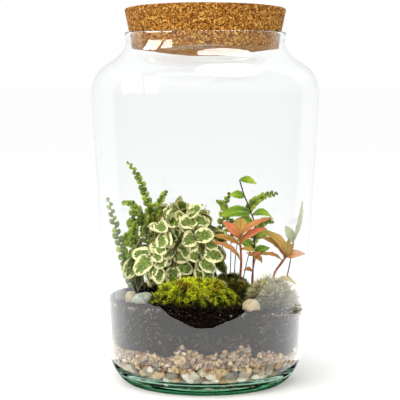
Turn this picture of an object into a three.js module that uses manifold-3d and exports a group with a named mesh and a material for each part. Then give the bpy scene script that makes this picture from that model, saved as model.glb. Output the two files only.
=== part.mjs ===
// A closed bottle garden: a corked glass jar with pebbles, granules, soil, stones, moss and plants.
// Millimetres, +Z up, +X to the right, -Y towards the viewer. The origin is the middle of the ring
// that the jar stands on.
import * as THREE from "three";
import { mergeVertices } from "three/addons/utils/BufferGeometryUtils.js";
import Module from "manifold-3d";

const wasm = await Module();
wasm.setup();

// Driving dimensions
const GAP = 0.3; // clearance between pieces that touch
const COLUMNS = 36; // facets round the jar and what fills it

const JAR = {
  standRadius: 85, // outer edge of the ring that it stands on
  standWidth: 7,
  punt: 2.5, // how far the middle of the base is raised
  heelRadius: 113.4,
  heelHeight: 46,
  heelCurve: [14.5, 22], // how far the heel's curve keeps its direction at each end
  bodyRadius: 129.5,
  shoulderHeight: 324,
  shoulderCurve: [50.5, 32],
  neckRadius: 90.2,
  neckHeight: 393,
  lipRadius: 91.5,
  height: 401,
  wall: 3.6,
  base: 12, // glass from the table up to the inner floor
  floorRadius: 84,
};

const CORK = {
  topRadius: 92.3,
  bottomRadius: 82.4,
  height: 46.5,
  proud: 26, // how much of it stands above the lip
  round: 1.6, // worn edges
  lean: THREE.MathUtils.degToRad(2.5), // it sits a little askew, its front edge up
};

const FILL = { pebbles: 35, granules: 48.5, soil: 98 }; // height of each layer's top

const BLADE = { rib: 1.0 }; // thickness along a rib

const HOLE = { depth: 9, play: 0.9, sides: 5 }; // a plain hole for a stem in the soil

// Materials
const finish = (color, roughness, extra = {}) =>
  new THREE.MeshStandardMaterial({ color, roughness, metalness: 0, ...extra });
const GLASS = finish(0xe6f2ee, 0.03, { transparent: true, opacity: 0.35 });
const CORKBOARD = finish(0xbe8c4b, 0.85);
const PEBBLE = finish(0x9a9488, 0.55);
const GRANULE = finish(0xd0a878, 0.9);
const SOIL = finish(0x1d1612, 0.95);
const STONE = finish(0xb9b09c, 0.75);
const MOSS = finish(0x8a9a24, 0.95);
const FERN = finish(0x6f9a2a, 0.6);
const FIG = finish(0x9ab07a, 0.55);
const PINK = finish(0xc8765c, 0.5);
const GREEN = finish(0x5d9418, 0.5);
const PALE = finish(0xb9b894, 0.6);
const DRY = finish(0xd9a05a, 0.8);
const WOOD = finish(0x9a6a3c, 0.9);

// Random draws that repeat from one run to the next
function draws(seed) {
  let state = seed;
  return (low, high) => {
    state = (state * 1664525 + 1013904223) % 4294967296;
    return low + ((high - low) * state) / 4294967296;
  };
}

// Solids
const vec = (x, y, z) => new THREE.Vector3(x, y, z);

function solidOf(geometry) {
  const bare = new THREE.BufferGeometry();
  bare.setAttribute("position", geometry.getAttribute("position"));
  bare.setIndex(geometry.index);
  const merged = mergeVertices(bare, 1e-4);
  const corners = merged.index.array;
  const kept = [];
  for (let i = 0; i < corners.length; i += 3) {
    const [a, b, c] = [corners[i], corners[i + 1], corners[i + 2]];
    if (a !== b && b !== c && c !== a) kept.push(a, b, c);
  }
  return new wasm.Manifold(
    new wasm.Mesh({
      numProp: 3,
      vertProperties: merged.getAttribute("position").array,
      triVerts: new Uint32Array(kept),
    }),
  );
}

// The geometry of a solid's largest body: scraps that a cut leaves loose are dropped.
function geometryOf(solid) {
  const bodies = solid.decompose().sort((a, b) => b.volume() - a.volume());
  const { vertProperties, triVerts } = bodies[0].getMesh();
  const geometry = new THREE.BufferGeometry();
  geometry.setAttribute("position", new THREE.BufferAttribute(vertProperties, 3));
  geometry.setIndex(new THREE.BufferAttribute(triVerts, 1));
  return geometry;
}

function indexed(points, faces) {
  const geometry = new THREE.BufferGeometry();
  geometry.setAttribute(
    "position",
    new THREE.Float32BufferAttribute(points.flatMap((p) => [p.x, p.y, p.z]), 3),
  );
  geometry.setIndex(faces.flat());
  return geometry;
}

function lathe(profile, columns) {
  const points = profile.map(([radius, z]) => new THREE.Vector2(radius, z));
  return new THREE.LatheGeometry(points, columns).rotateX(Math.PI / 2);
}

const onCircle = (radius, turn) => [radius * Math.cos(turn), radius * Math.sin(turn)];

function ngon(radius, sides) {
  const corners = [];
  for (let i = 0; i < sides; i += 1) {
    const turn = (2 * Math.PI * i) / sides;
    corners.push(new THREE.Vector2(radius * Math.cos(turn), radius * Math.sin(turn)));
  }
  return new THREE.Shape(corners);
}

function tube(points, radius, sides, steps) {
  const path = new THREE.CatmullRomCurve3(points, false, "catmullrom", 0.5);
  return new THREE.ExtrudeGeometry(ngon(radius, sides), { steps, extrudePath: path });
}

// Jar and cork
function outerProfile() {
  const { heelRadius, heelHeight, bodyRadius, shoulderHeight, neckRadius, neckHeight } = JAR;
  const lean = (bodyRadius - heelRadius) / (shoulderHeight - heelHeight);
  const [heelStart, heelEnd] = JAR.heelCurve;
  const [shoulderStart, shoulderEnd] = JAR.shoulderCurve;
  const outline = new THREE.Path();
  outline.moveTo(JAR.standRadius, 0);
  outline.bezierCurveTo(
    JAR.standRadius + heelStart, 0,
    heelRadius - lean * heelEnd, heelHeight - heelEnd,
    heelRadius, heelHeight,
  );
  outline.lineTo(bodyRadius, shoulderHeight);
  outline.bezierCurveTo(
    bodyRadius + lean * shoulderStart, shoulderHeight + shoulderStart,
    neckRadius, neckHeight - shoulderEnd,
    neckRadius, neckHeight,
  );
  return outline.getPoints(5).map((p) => [p.x, p.y]);
}

// The wall's inner face, from the heel's top up to the neck: the outer one moved in by the wall.
function innerProfile() {
  const outer = outerProfile();
  const first = outer.findIndex(([, z]) => z >= JAR.heelHeight - 0.01);
  const inner = [];
  for (let i = first; i < outer.length; i += 1) {
    const [r0, z0] = outer[i - 1];
    const [r1, z1] = outer[Math.min(i + 1, outer.length - 1)];
    const length = Math.hypot(r1 - r0, z1 - z0);
    const normal = [(z1 - z0) / length, -(r1 - r0) / length];
    inner.push([outer[i][0] - JAR.wall * normal[0], outer[i][1] - JAR.wall * normal[1]]);
  }
  const heel = new THREE.CubicBezierCurve(
    new THREE.Vector2(JAR.floorRadius, JAR.base),
    new THREE.Vector2(JAR.floorRadius + 12, JAR.base),
    new THREE.Vector2(inner[0][0] - 1, inner[0][1] - 18),
    new THREE.Vector2(...inner[0]),
  );
  const lower = heel.getPoints(4).map((p) => [p.x, p.y]);
  return [...lower, ...inner.slice(1)];
}

const INNER = innerProfile();

// Radius inside the wall at a height
function insideRadius(z) {
  if (z <= INNER[0][1]) return INNER[0][0];
  const above = INNER.findIndex((p) => p[1] >= z);
  const [r0, z0] = INNER[above - 1];
  const [r1, z1] = INNER[above];
  return r0 + ((r1 - r0) * (z - z0)) / (z1 - z0);
}

function jar() {
  const lipBead = JAR.lipRadius - JAR.neckRadius;
  const mouth = JAR.neckRadius - JAR.wall;
  const profile = [
    [0, JAR.punt],
    [JAR.standRadius - JAR.standWidth - 6, JAR.punt],
    [JAR.standRadius - JAR.standWidth, 0],
    ...outerProfile(),
    [JAR.lipRadius, JAR.height - 4],
    [JAR.lipRadius, JAR.height - 1.5],
    [JAR.lipRadius - 1.5, JAR.height],
    [mouth + lipBead + 1.2, JAR.height],
    [mouth + lipBead, JAR.height - 1.5],
    [mouth, JAR.height - 5],
    ...INNER.slice().reverse(),
    [0, JAR.base],
  ];
  return lathe(profile, COLUMNS);
}

function cork() {
  const { topRadius, bottomRadius, height, round } = CORK;
  const flare = (topRadius - bottomRadius) / height;
  const profile = [
    [0, 0],
    [bottomRadius - round, 0],
    [bottomRadius + flare * round, round],
    [topRadius - flare * round, height - round],
    [topRadius - round, height],
    [0, height],
  ];
  return lathe(profile, COLUMNS).translate(0, 0, CORK.proud - CORK.height);
}

// Ground: the top of each layer as a formula of the place
const soilHill = (x, y) => 8 * Math.exp(-((x - 12) ** 2 + (y - 8) ** 2) / 48 ** 2);
const pebbleTop = (x, y) => FILL.pebbles + 1.5 * Math.sin(x * 0.06) * Math.cos(y * 0.05);
const granuleTop = (x, y) =>
  FILL.granules - 0.03 * x + 2.2 * Math.sin(x * 0.085 + 2.2) + 1.2 * Math.cos(y * 0.06);
const soilTop = (x, y) =>
  FILL.soil - 0.05 * x - 0.0006 * x * x + 0.7 * Math.sin(x * 0.05) * Math.cos(y * 0.045) +
  soilHill(x, y);

// One layer of the filling, from a floor formula to a top formula, with its side against the wall.
// relief(column, row) is how far a point of the side stands back from the glass.
function layer({ floor, top, topRings, floorRings, sideRows, relief }) {
  const points = [];
  const faces = [];
  const turnOf = (column) => (2 * Math.PI * column) / COLUMNS;
  const rimAt = (height) => insideRadius(height) - GAP;

  function settle(column, heightOf) {
    const turn = turnOf(column);
    let radius = rimAt(FILL.granules);
    for (let i = 0; i < 4; i += 1) {
      radius = rimAt(heightOf(radius * Math.cos(turn), radius * Math.sin(turn)));
    }
    return radius;
  }

  const rows = [];
  const addRow = (place) => {
    const row = [];
    for (let column = 0; column < COLUMNS; column += 1) {
      row.push(points.length);
      points.push(place(column));
    }
    rows.push(row);
  };
  const onSurface = (heightOf, share) => (column) => {
    const turn = turnOf(column);
    const radius = settle(column, heightOf) * share;
    const [x, y] = [radius * Math.cos(turn), radius * Math.sin(turn)];
    return vec(x, y, heightOf(x, y));
  };

  for (let ring = 1; ring <= floorRings; ring += 1) addRow(onSurface(floor, ring / floorRings));
  for (let level = 1; level < sideRows; level += 1) {
    addRow((column) => {
      const low = onSurface(floor, 1)(column);
      const high = onSurface(top, 1)(column);
      const z = low.z + ((high.z - low.z) * level) / sideRows;
      const radius = rimAt(z) - relief(column, level);
      const turn = turnOf(column);
      return vec(radius * Math.cos(turn), radius * Math.sin(turn), z);
    });
  }
  for (let ring = topRings; ring >= 1; ring -= 1) addRow(onSurface(top, ring / topRings));

  const rim = floorRings + sideRows - 1; // the row at the top's edge, from where rows run inwards
  rows.slice(1).forEach((row, i) => {
    for (let column = 0; column < COLUMNS; column += 1) {
      const next = (column + 1) % COLUMNS;
      const [a, b, c, d] = [rows[i][column], rows[i][next], row[next], row[column]];
      // Split so that a layer's top and the floor of the next one have the same facets
      if (i < rim) faces.push([a, b, c], [a, c, d]);
      else faces.push([a, b, d], [b, c, d]);
    }
  });
  const [bottom, summit] = [points.length, points.length + 1];
  points.push(vec(0, 0, floor(0, 0)), vec(0, 0, top(0, 0)));
  const last = rows[rows.length - 1];
  for (let column = 0; column < COLUMNS; column += 1) {
    const next = (column + 1) % COLUMNS;
    faces.push([bottom, rows[0][next], rows[0][column]]);
    faces.push([summit, last[column], last[next]]);
  }
  return indexed(points, faces);
}

const granuleDraw = draws(11);
const granuleRelief = () => granuleDraw(0, 1.4);
const smooth = () => 0;

const jarFloor = () => JAR.base + GAP;

// Stones: a ball that is squashed and knocked about by a few waves
function stoneGeometry({ size, seed, turn = 0 }, grow = 0) {
  const draw = draws(seed);
  const waves = [];
  for (let i = 0; i < 5; i += 1) {
    waves.push({
      way: vec(draw(-2.6, 2.6), draw(-2.6, 2.6), draw(-2.6, 2.6)),
      phase: draw(0, 6.28),
    });
  }
  const ball = new THREE.IcosahedronGeometry(0.5, 1);
  const place = ball.getAttribute("position");
  const point = vec(0, 0, 0);
  for (let i = 0; i < place.count; i += 1) {
    point.fromBufferAttribute(place, i).multiplyScalar(2);
    let swell = 1;
    for (const { way, phase } of waves) swell += 0.045 * Math.sin(point.dot(way) + phase);
    point.multiplyScalar(0.5 * swell);
    place.setXYZ(i, point.x, point.y, point.z);
  }
  const [width, depth, height] = size.map((s) => s + 2 * grow);
  return ball.scale(width, depth, height).rotateZ(turn);
}

const STONES = [
  { name: "stone_left_grey", at: [-95, -28], size: [15, 14, 17], seed: 3, turn: 0.3 },
  { name: "stone_left_tan", at: [-83, -48], size: [13, 12, 19], seed: 5, turn: 0.8 },
  { name: "stone_left_pale", at: [-68, -60], size: [25, 17, 18], seed: 8, turn: 0.1 },
  { name: "stone_flat_beige", at: [13, -19], size: [25, 17, 16], seed: 13, turn: -0.4 },
  { name: "stone_right_beige", at: [50, -85], size: [22, 16, 20], seed: 21, turn: 0.5 },
  { name: "stone_back_grey", at: [-12, 84], size: [24, 18, 15], seed: 34, turn: 0.2 },
  { name: "stone_back_tan", at: [78, 58], size: [18, 15, 14], seed: 55, turn: 1.1 },
];
const STONE_SINK = 0.28; // share of a stone's height that is in the ground

function stoneSolid(stone, grow = 0) {
  const [x, y] = stone.at;
  const z = groundTop(x, y) + stone.size[2] * (0.5 - STONE_SINK);
  return solidOf(stoneGeometry(stone, grow).translate(x, y, z));
}

// Pebbles: a bed that stands back from the glass, with a ring of stones that lean on the glass
const PEBBLES = {
  back: 9.5, // from the glass to the bed
  around: 30,
  height: 24.6, // of the stones' middles
  tuck: 0.9, // from the stones to the glass
  lean: THREE.MathUtils.degToRad(34),
  width: [16.5, 20.5],
  depth: 13,
  tall: [15, 18],
};

function pebbles() {
  const { back, around, height, tuck, lean, width, depth, tall } = PEBBLES;
  const draw = draws(29);
  let solid = solidOf(layer({
    floor: jarFloor, top: pebbleTop, topRings: 2, floorRings: 1, sideRows: 3, relief: () => back,
  }));
  const radius = insideRadius(height) - tuck - depth / 2 / Math.cos(lean);
  for (let i = 0; i < around; i += 1) {
    const turn = (2 * Math.PI * i) / around;
    const stone = new THREE.IcosahedronGeometry(0.5, 0)
      .scale(draw(...width), depth, draw(...tall))
      .rotateX(-lean)
      .rotateZ(turn - Math.PI / 2)
      .translate(...onCircle(radius, turn), height + draw(-1, 1));
    solid = solid.add(solidOf(stone));
  }
  return geometryOf(solid);
}

// Moss mounds
const MOUNDS = [
  { name: "moss_front", at: [-8, -60], reach: [53, 31], height: 22, seed: 2 },
  { name: "moss_back", at: [31, -6], reach: [27, 26], height: 15, seed: 4 },
  { name: "moss_right", at: [76, -36], reach: [25, 30], height: 23, seed: 6 },
  { name: "moss_rear", at: [-44, 74], reach: [28, 18], height: 12, seed: 9 },
];
const MOSS_RIM = 1.2; // thickness where a mound meets the soil
const MOSS_LIFT = 0.45; // from the soil's formula to a mound's underside

function moundTop(mound, x, y) {
  const [u, v] = [(x - mound.at[0]) / mound.reach[0], (y - mound.at[1]) / mound.reach[1]];
  const out = Math.min(1, Math.hypot(u, v));
  const lumps =
    0.16 * Math.sin(x * 0.21 + mound.seed) * Math.cos(y * 0.24 + mound.seed * 2) +
    0.1 * Math.sin(x * 0.13 - y * 0.3 + mound.seed);
  const dome = (1 - out ** 2.4) * (1 + lumps);
  return soilTop(x, y) + MOSS_LIFT + MOSS_RIM + mound.height * Math.max(0, dome);
}

function moundGeometry(mound) {
  const [rings, columns] = [4, 16];
  const points = [];
  const faces = [];
  for (const upper of [false, true]) {
    for (let ring = 1; ring <= rings; ring += 1) {
      for (let column = 0; column < columns; column += 1) {
        const turn = (2 * Math.PI * column) / columns;
        const x = mound.at[0] + (mound.reach[0] * ring * Math.cos(turn)) / rings;
        const y = mound.at[1] + (mound.reach[1] * ring * Math.sin(turn)) / rings;
        points.push(vec(x, y, upper ? moundTop(mound, x, y) : soilTop(x, y) + MOSS_LIFT));
      }
    }
  }
  const id = (upper, ring, column) =>
    (upper ? rings * columns : 0) + (ring - 1) * columns + (column % columns);
  const [x, y] = mound.at;
  const [under, over] = [points.length, points.length + 1];
  points.push(vec(x, y, soilTop(x, y) + MOSS_LIFT), vec(x, y, moundTop(mound, x, y)));
  for (let c = 0; c < columns; c += 1) {
    faces.push([over, id(true, 1, c), id(true, 1, c + 1)]);
    faces.push([under, id(false, 1, c + 1), id(false, 1, c)]);
    for (let r = 1; r < rings; r += 1) {
      const upper = [id(true, r, c), id(true, r + 1, c), id(true, r + 1, c + 1), id(true, r, c + 1)];
      const lower = [id(false, r, c), id(false, r + 1, c), id(false, r + 1, c + 1), id(false, r, c + 1)];
      faces.push([upper[0], upper[1], upper[2]], [upper[0], upper[2], upper[3]]);
      faces.push([lower[0], lower[2], lower[1]], [lower[0], lower[3], lower[2]]);
    }
    const low = [id(false, rings, c), id(false, rings, c + 1)];
    const high = [id(true, rings, c), id(true, rings, c + 1)];
    faces.push([low[0], low[1], high[1]], [low[0], high[1], high[0]]);
  }
  return indexed(points, faces);
}

// Height of the soil or moss at a place
const groundTop = (x, y) =>
  Math.max(
    soilTop(x, y),
    ...MOUNDS.map((m) =>
      Math.hypot((x - m.at[0]) / m.reach[0], (y - m.at[1]) / m.reach[1]) < 1 ? moundTop(m, x, y) : 0,
    ),
  );

// A closed blade with a lens-shaped section. Each station holds a point of the rib, the vectors from
// it to the left and right edges, and the vector to the crest above it. Both faces are split alike.
function bladeGeometry(start, stations, end) {
  const points = [start, end];
  const faces = [];
  for (const { rib, left, right, crest } of stations) {
    points.push(
      rib.clone().add(left),
      rib.clone().add(right),
      rib.clone().add(crest),
      rib.clone().sub(crest),
    );
  }
  const [S, E] = [0, 1];
  const id = (i, corner) => 2 + 4 * i + { left: 0, right: 1, over: 2, under: 3 }[corner];
  const last = stations.length - 1;
  for (const [edge, rib] of [["left", "over"], ["right", "under"]]) {
    faces.push([S, id(0, rib), id(0, edge)], [id(last, rib), E, id(last, edge)]);
    for (let i = 0; i < last; i += 1) {
      faces.push([id(i, rib), id(i + 1, edge), id(i, edge)]);
      faces.push([id(i, rib), id(i + 1, rib), id(i + 1, edge)]);
    }
  }
  for (const [edge, rib] of [["left", "under"], ["right", "over"]]) {
    faces.push([S, id(0, edge), id(0, rib)], [id(last, rib), id(last, edge), E]);
    for (let i = 0; i < last; i += 1) {
      faces.push([id(i, rib), id(i, edge), id(i + 1, edge)]);
      faces.push([id(i, rib), id(i + 1, edge), id(i + 1, rib)]);
    }
  }
  return indexed(points, faces);
}

// A leaf from its root to its tip. face is the side that it shows, rise how far the rib's middle
// stands above the straight line, cup how much the edges lift, wave how far they swing up and down.
const LEAF_FORMS = {
  round: { stations: [0.24, 0.55, 0.84], power: 0.72, plump: 0.62 },
  lance: { stations: [0.22, 0.52, 0.82], power: 0.8, plump: 0.95 },
  strap: { stations: [0.2, 0.5, 0.8], power: 0.9, plump: 0.7 },
};

function leafGeometry({ root, tip, face, width, rise, cup = 0.15, wave = 0, form = "lance" }) {
  const chord = tip.clone().sub(root);
  const heading = chord.clone().normalize();
  const left = face.clone().cross(heading).normalize();
  const up = heading.clone().cross(left);
  const { stations, power, plump } = LEAF_FORMS[form];
  const rows = stations.map((s, i) => {
    const half = (width / 2) * Math.sin(Math.PI * s ** power) ** plump;
    const swing = i % 2 ? -wave : wave;
    const rib = root.clone().addScaledVector(chord, s).addScaledVector(up, 4 * rise * s * (1 - s));
    return {
      rib,
      left: left.clone().multiplyScalar(half).addScaledVector(up, cup * half + swing),
      right: left.clone().multiplyScalar(-half).addScaledVector(up, cup * half - swing),
      crest: up.clone().multiplyScalar((BLADE.rib / 2) * (1 - 0.25 * s)),
    };
  });
  return bladeGeometry(root, rows, tip);
}

// Stems, with their leaves fused on. A stem's first point is its foot, at the bottom of its hole.
const footOf = (x, y) => vec(x, y, soilTop(x, y) - HOLE.depth + GAP);

// The point at a share of a stem's length, on the straight steps that its tube is made of
function alongStem(points, steps, share) {
  const joints = new THREE.CatmullRomCurve3(points, false, "catmullrom", 0.5).getSpacedPoints(steps);
  const i = Math.min(Math.floor(share * steps), steps - 1);
  return joints[i].clone().lerp(joints[i + 1], share * steps - i);
}

// leavesOf(along) lists the leaves, given the function that finds a place along the stem.
function leafyStem({ points, radius, sides, steps, leavesOf }) {
  let solid = solidOf(tube(points, radius, sides, steps));
  const along = (share) => alongStem(points, steps, share);
  for (const leaf of leavesOf(along)) solid = solid.add(solidOf(leafGeometry(leaf)));
  return solid;
}

// Fern: each frond is one arched blade, its leaflets cut to the rib
const FRONDS = [
  { foot: [-62, 38], bend: [[-64, 34, 150], [-56, 30, 215], [-91, 28, 251]], pairs: 15, bare: 0.36 },
  { foot: [-56, 42], bend: [[-60, 40, 150], [-66, 36, 200], [-45, 33, 216]], pairs: 11, bare: 0.4 },
  { foot: [-68, 43], bend: [[-68, 42, 160], [-70, 38, 208], [-98, 34, 203]], pairs: 12, bare: 0.38 },
  { foot: [-82, 34], bend: [[-90, 20, 120], [-102, 8, 165], [-112, 2, 211]], pairs: 12, bare: 0.2 },
  { foot: [-72, 30], bend: [[-72, 27, 150], [-90, 23, 186], [-97, 19, 142]], pairs: 10, bare: 0.4 },
  { foot: [-76, 38], bend: [[-86, 33, 130], [-90, 30, 175], [-84, 28, 205]], pairs: 11, bare: 0.25 },
  { foot: [-50, 47], bend: [[-50, 46, 150], [-46, 43, 190], [-29, 41, 207]], pairs: 9, bare: 0.4 },
  { foot: [-44, 43], bend: [[-38, 44, 140], [-32, 43, 182], [-12, 41, 196]], pairs: 9, bare: 0.35 },
  { foot: [-58, 52], bend: [[-60, 58, 150], [-60, 66, 196], [-46, 84, 190]], pairs: 10, bare: 0.3 },
  { foot: [-70, 52], bend: [[-80, 56, 140], [-88, 60, 176], [-84, 70, 164]], pairs: 9, bare: 0.3 },
  { foot: [34, 44], bend: [[34, 43, 150], [40, 41, 216], [85, 39, 213]], pairs: 12, bare: 0.42 },
  { foot: [29, 47], bend: [[30, 46, 150], [36, 44, 198], [14, 42, 205]], pairs: 8, bare: 0.42 },
  { foot: [24, 52], bend: [[20, 53, 150], [16, 51, 192], [29, 49, 213]], pairs: 8, bare: 0.4 },
  { foot: [42, 56], bend: [[50, 62, 140], [64, 68, 190], [82, 70, 176]], pairs: 9, bare: 0.35 },
];
const LEAFLET = { reach: 4.6, neck: 0.6 }; // from the rib to a leaflet's end, and between leaflets
const FROND_FACE = vec(0.1, -1, 0.35); // fronds show their upper side to the front

function frondGeometry({ foot, bend, pairs, bare }) {
  const root = footOf(...foot);
  const path = new THREE.CubicBezierCurve3(root, ...bend.map((p) => vec(...p)));
  const shares = [0.04, 0.5 * bare];
  for (let i = 0; i < pairs; i += 1) {
    for (const step of [0, 0.27, 0.75]) shares.push(bare + ((1 - bare) * (i + step)) / pairs);
  }
  const stations = shares.map((s, i) => {
    const heading = path.getTangent(s);
    const left = FROND_FACE.clone().cross(heading).normalize();
    const up = heading.clone().cross(left);
    const along = Math.max(0, (s - bare) / (1 - bare));
    const full = LEAFLET.reach * Math.min(1, 0.7 + 2 * along) * (1 - 0.5 * along ** 3);
    const half = i < 2 || (i - 2) % 3 === 0 ? LEAFLET.neck : full;
    return {
      rib: path.getPoint(s),
      left: left.clone().multiplyScalar(half).addScaledVector(up, -0.12 * half),
      right: left.clone().multiplyScalar(-half).addScaledVector(up, -0.12 * half),
      crest: up.clone().multiplyScalar(BLADE.rib / 2),
    };
  });
  return bladeGeometry(root, stations, path.getPoint(1));
}

// Creeping fig: stems climb the middle of the bush, arch over and run down its outside, with leaves
// on both sides that lie on each other like tiles
const FIG_BUSH = {
  middle: vec(-34, -8, 145),
  reach: vec(47, 38, 56),
  overMoss: 13, // degrees by which the front stems end higher, clear of the moss
};
const FIG_LEAF = { length: 23, width: 19, wave: 1.1 };
const FIG_STEM = { radius: 0.9, sides: 3, steps: 10 };
const FIG_KINDS = {
  top: { crown: 0, scale: 0.93, from: 3, to: 16, leaves: 5, first: 0.87, lift: 0.45 },
  outer: { crown: 7, scale: 1, from: 30, to: 110, leaves: 8, first: 0.47, lift: 0.3 },
  inner: { crown: 7, scale: 0.76, from: 50, to: 118, leaves: 6, first: 0.52, lift: 0.1 },
};
const FIG_STEMS = [{ turn: 0.4, ...FIG_KINDS.top }];
for (let i = 0; i < 5; i += 1) {
  const turn = (2 * Math.PI * i) / 5;
  FIG_STEMS.push({ turn: turn + 0.35, ...FIG_KINDS.outer });
  FIG_STEMS.push({ turn: turn + 0.98, ...FIG_KINDS.inner });
}

// Where a fig stem leaves the soil: on a small ring, the crown, round the bush's middle
const figFoot = ({ turn, crown }) =>
  footOf(
    FIG_BUSH.middle.x + crown * Math.cos(turn),
    FIG_BUSH.middle.y + crown * Math.sin(turn),
  );

function domePoint(turn, fall, scale) {
  const { middle, reach } = FIG_BUSH;
  const out = scale * Math.sin(fall);
  return vec(
    middle.x + reach.x * out * Math.cos(turn),
    middle.y + reach.y * out * Math.sin(turn),
    middle.z + reach.z * scale * Math.cos(fall),
  );
}

// The leaves of one stem, by turns on its left and right, growing out of the dome and down along it
function figLeaves({ turn, leaves, first, lift }, index, along) {
  const draw = draws(101 + index);
  const { middle, reach } = FIG_BUSH;
  const grown = [];
  for (let i = 0; i < leaves; i += 1) {
    const share = first + ((1 - first) * (i + 0.6)) / leaves;
    const root = along(share);
    const out = root.clone().sub(middle).divide(reach).divide(reach).normalize();
    const down = along(Math.min(share + 0.02, 1)).sub(along(share - 0.02)).normalize();
    const side = out.clone().cross(down).multiplyScalar(i % 2 ? 1 : -1);
    const spread = index === 0 ? turn + 2.4 * i : draw(0.5, 0.9);
    const heading = side.multiplyScalar(Math.cos(spread)).addScaledVector(down, Math.sin(spread));
    heading.addScaledVector(out, lift).normalize();
    const size = draw(0.85, 1.08) * (0.78 + 0.22 * Math.hypot(out.x, out.y));
    grown.push({
      root,
      tip: root.clone().addScaledVector(heading, FIG_LEAF.length * size),
      face: out,
      width: FIG_LEAF.width * size,
      rise: draw(0.6, 2.4),
      cup: draw(-0.12, 0.1),
      wave: FIG_LEAF.wave,
      form: "round",
    });
  }
  return grown;
}

function figStem(stem, index) {
  const { turn, scale } = stem;
  const short = FIG_BUSH.overMoss * Math.max(0, -Math.sin(turn));
  const [from, to] = [stem.from, stem.to - short].map(THREE.MathUtils.degToRad);
  const foot = figFoot(stem);
  const waist = foot.clone().setZ(FIG_BUSH.middle.z - 8);
  const over = [0, 0.33, 0.67, 1].map((share) => domePoint(turn, from + (to - from) * share, scale));
  return leafyStem({
    ...FIG_STEM,
    points: [foot, waist, ...over],
    leavesOf: (along) => figLeaves(stem, index, along),
  });
}

// Plants with hand-laid stems. A leaf is [share along the stem, tip, width, rise, face].
const FRONT = [0, -0.8, 0.6];
const UP = [0, -0.35, 1];
const TILTED = [0, -0.75, 0.7];
const STEMS = [
  {
    name: "pink_stem_1", color: PINK, radius: 1.2, form: "lance",
    foot: [40, -8],
    bend: [[40, -9, 118], [41, -15, 143], [39, -22, 170]],
    leaves: [
      [0.98, [18, -26, 188], 11, 1.5, FRONT],
      [1.0, [42, -15, 191], 13, 1.5, FRONT],
      [0.97, [69, -27, 182], 9.5, 3, UP],
      [1.0, [78, -19, 190], 7, 6, UP],
      [0.86, [4, -21, 170], 8, 5, UP],
      [0.6, [5, -39, 166], 9, 7, UP],
      [0.8, [58, -30, 152], 6, 3, UP],
    ],
  },
  {
    name: "pink_stem_2", color: PINK, radius: 1.2, form: "lance",
    foot: [78, 1],
    bend: [[78, 1, 110], [80, 0, 124], [86, -1, 134], [93, -2, 144]],
    leaves: [
      [1.0, [114, -10, 146], 10, 4, UP],
      [1.0, [95, -9, 165], 10, 1.5, FRONT],
      [0.98, [73, 5, 177], 12, 5, FRONT],
      [0.96, [58, -7, 168], 9, 9, UP],
      [0.9, [58, -10, 146], 7, 5, UP],
      [0.45, [109, -8, 109], 9, 9, UP],
      [0.97, [104, 12, 158], 9, 3, UP],
    ],
  },
  {
    name: "pink_stem_3", color: PINK, radius: 0.9, form: "lance",
    foot: [54, 8],
    bend: [[54, 8, 112], [55, 8, 126], [58, 7, 141]],
    leaves: [
      [1.0, [47, 2, 148], 7, 2, UP],
      [1.0, [66, 2, 136], 8, 4, UP],
      [0.7, [44, 12, 126], 7, 3, UP],
      [0.98, [64, 16, 148], 8, 2, UP],
    ],
  },
  {
    name: "green_stem", color: GREEN, radius: 1.0, form: "lance",
    foot: [56, 26],
    bend: [[56, 26, 120], [57, 25, 149], [58, 24, 177], [50, 24, 202], [45, 24, 214], [40, 24, 231]],
    leaves: [
      [1.0, [60, 21, 226], 11, 3, TILTED],
      [0.86, [27, 18, 213], 12, 2, FRONT],
      [0.72, [16, 17, 188], 17, 5, TILTED],
      [0.62, [34, 14, 185], 14, 2, FRONT],
      [0.7, [78, 23, 187], 11, 7, TILTED],
      [0.5, [80, 31, 168], 13, 5, TILTED],
      [0.38, [76, 18, 152], 14, 2, FRONT],
      [0.42, [36, 31, 160], 12, 4, TILTED],
    ],
  },
  {
    name: "slender_stem", color: PALE, radius: 0.9, form: "strap",
    foot: [95, 18],
    bend: [[95, 18, 110], [98, 16, 128], [102, 14, 150], [103, 13, 161]],
    leaves: [
      [1.0, [113, 8, 208], 7, 4, [1, -0.6, 0.2]],
      [0.97, [93, 12, 178], 12, 2, FRONT],
    ],
  },
];

function plantStem({ radius, form, foot, bend, leaves }) {
  return leafyStem({
    points: [footOf(...foot), ...bend.map((p) => vec(...p))],
    radius,
    sides: 4,
    steps: 2 * bend.length + 1,
    leavesOf: (along) =>
      leaves.map(([at, tip, width, rise, face]) => ({
        root: along(at), tip: vec(...tip), width, rise, face: vec(...face), form,
      })),
  });
}

// Leaves that have dropped, and a dry twig, lie on the moss
const LITTER_LIFT = 1.1;
const LITTER = [
  { name: "fallen_leaf_yellow", color: DRY, from: [46, -16], to: [33, -18], width: 9 },
  { name: "fallen_leaf_red", color: PINK, from: [55, -10], to: [50, -17], width: 5 },
];

const onGround = (x, y, lift) => vec(x, y, groundTop(x, y) + lift);

// The way that the ground faces at a place
function groundFace(x, y) {
  const step = 3;
  const slope = [
    (groundTop(x + step, y) - groundTop(x - step, y)) / (2 * step),
    (groundTop(x, y + step) - groundTop(x, y - step)) / (2 * step),
  ];
  return vec(-slope[0], -slope[1], 1).normalize();
}

function fallenLeaf({ from, to, width }) {
  const [x, y] = [(from[0] + to[0]) / 2, (from[1] + to[1]) / 2];
  const [root, tip] = [onGround(...from, LITTER_LIFT), onGround(...to, LITTER_LIFT)];
  const rise = onGround(x, y, LITTER_LIFT).z - (root.z + tip.z) / 2;
  return leafGeometry({ root, tip, face: groundFace(x, y), width, rise: Math.max(rise, 0), form: "round" });
}

function twig() {
  const ends = [[-7, -78], [-1, -83], [6, -88]];
  return tube(ends.map(([x, y]) => onGround(x, y, 2.0)), 0.8, 5, 4);
}

// Assembly
const part = new THREE.Group();

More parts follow.
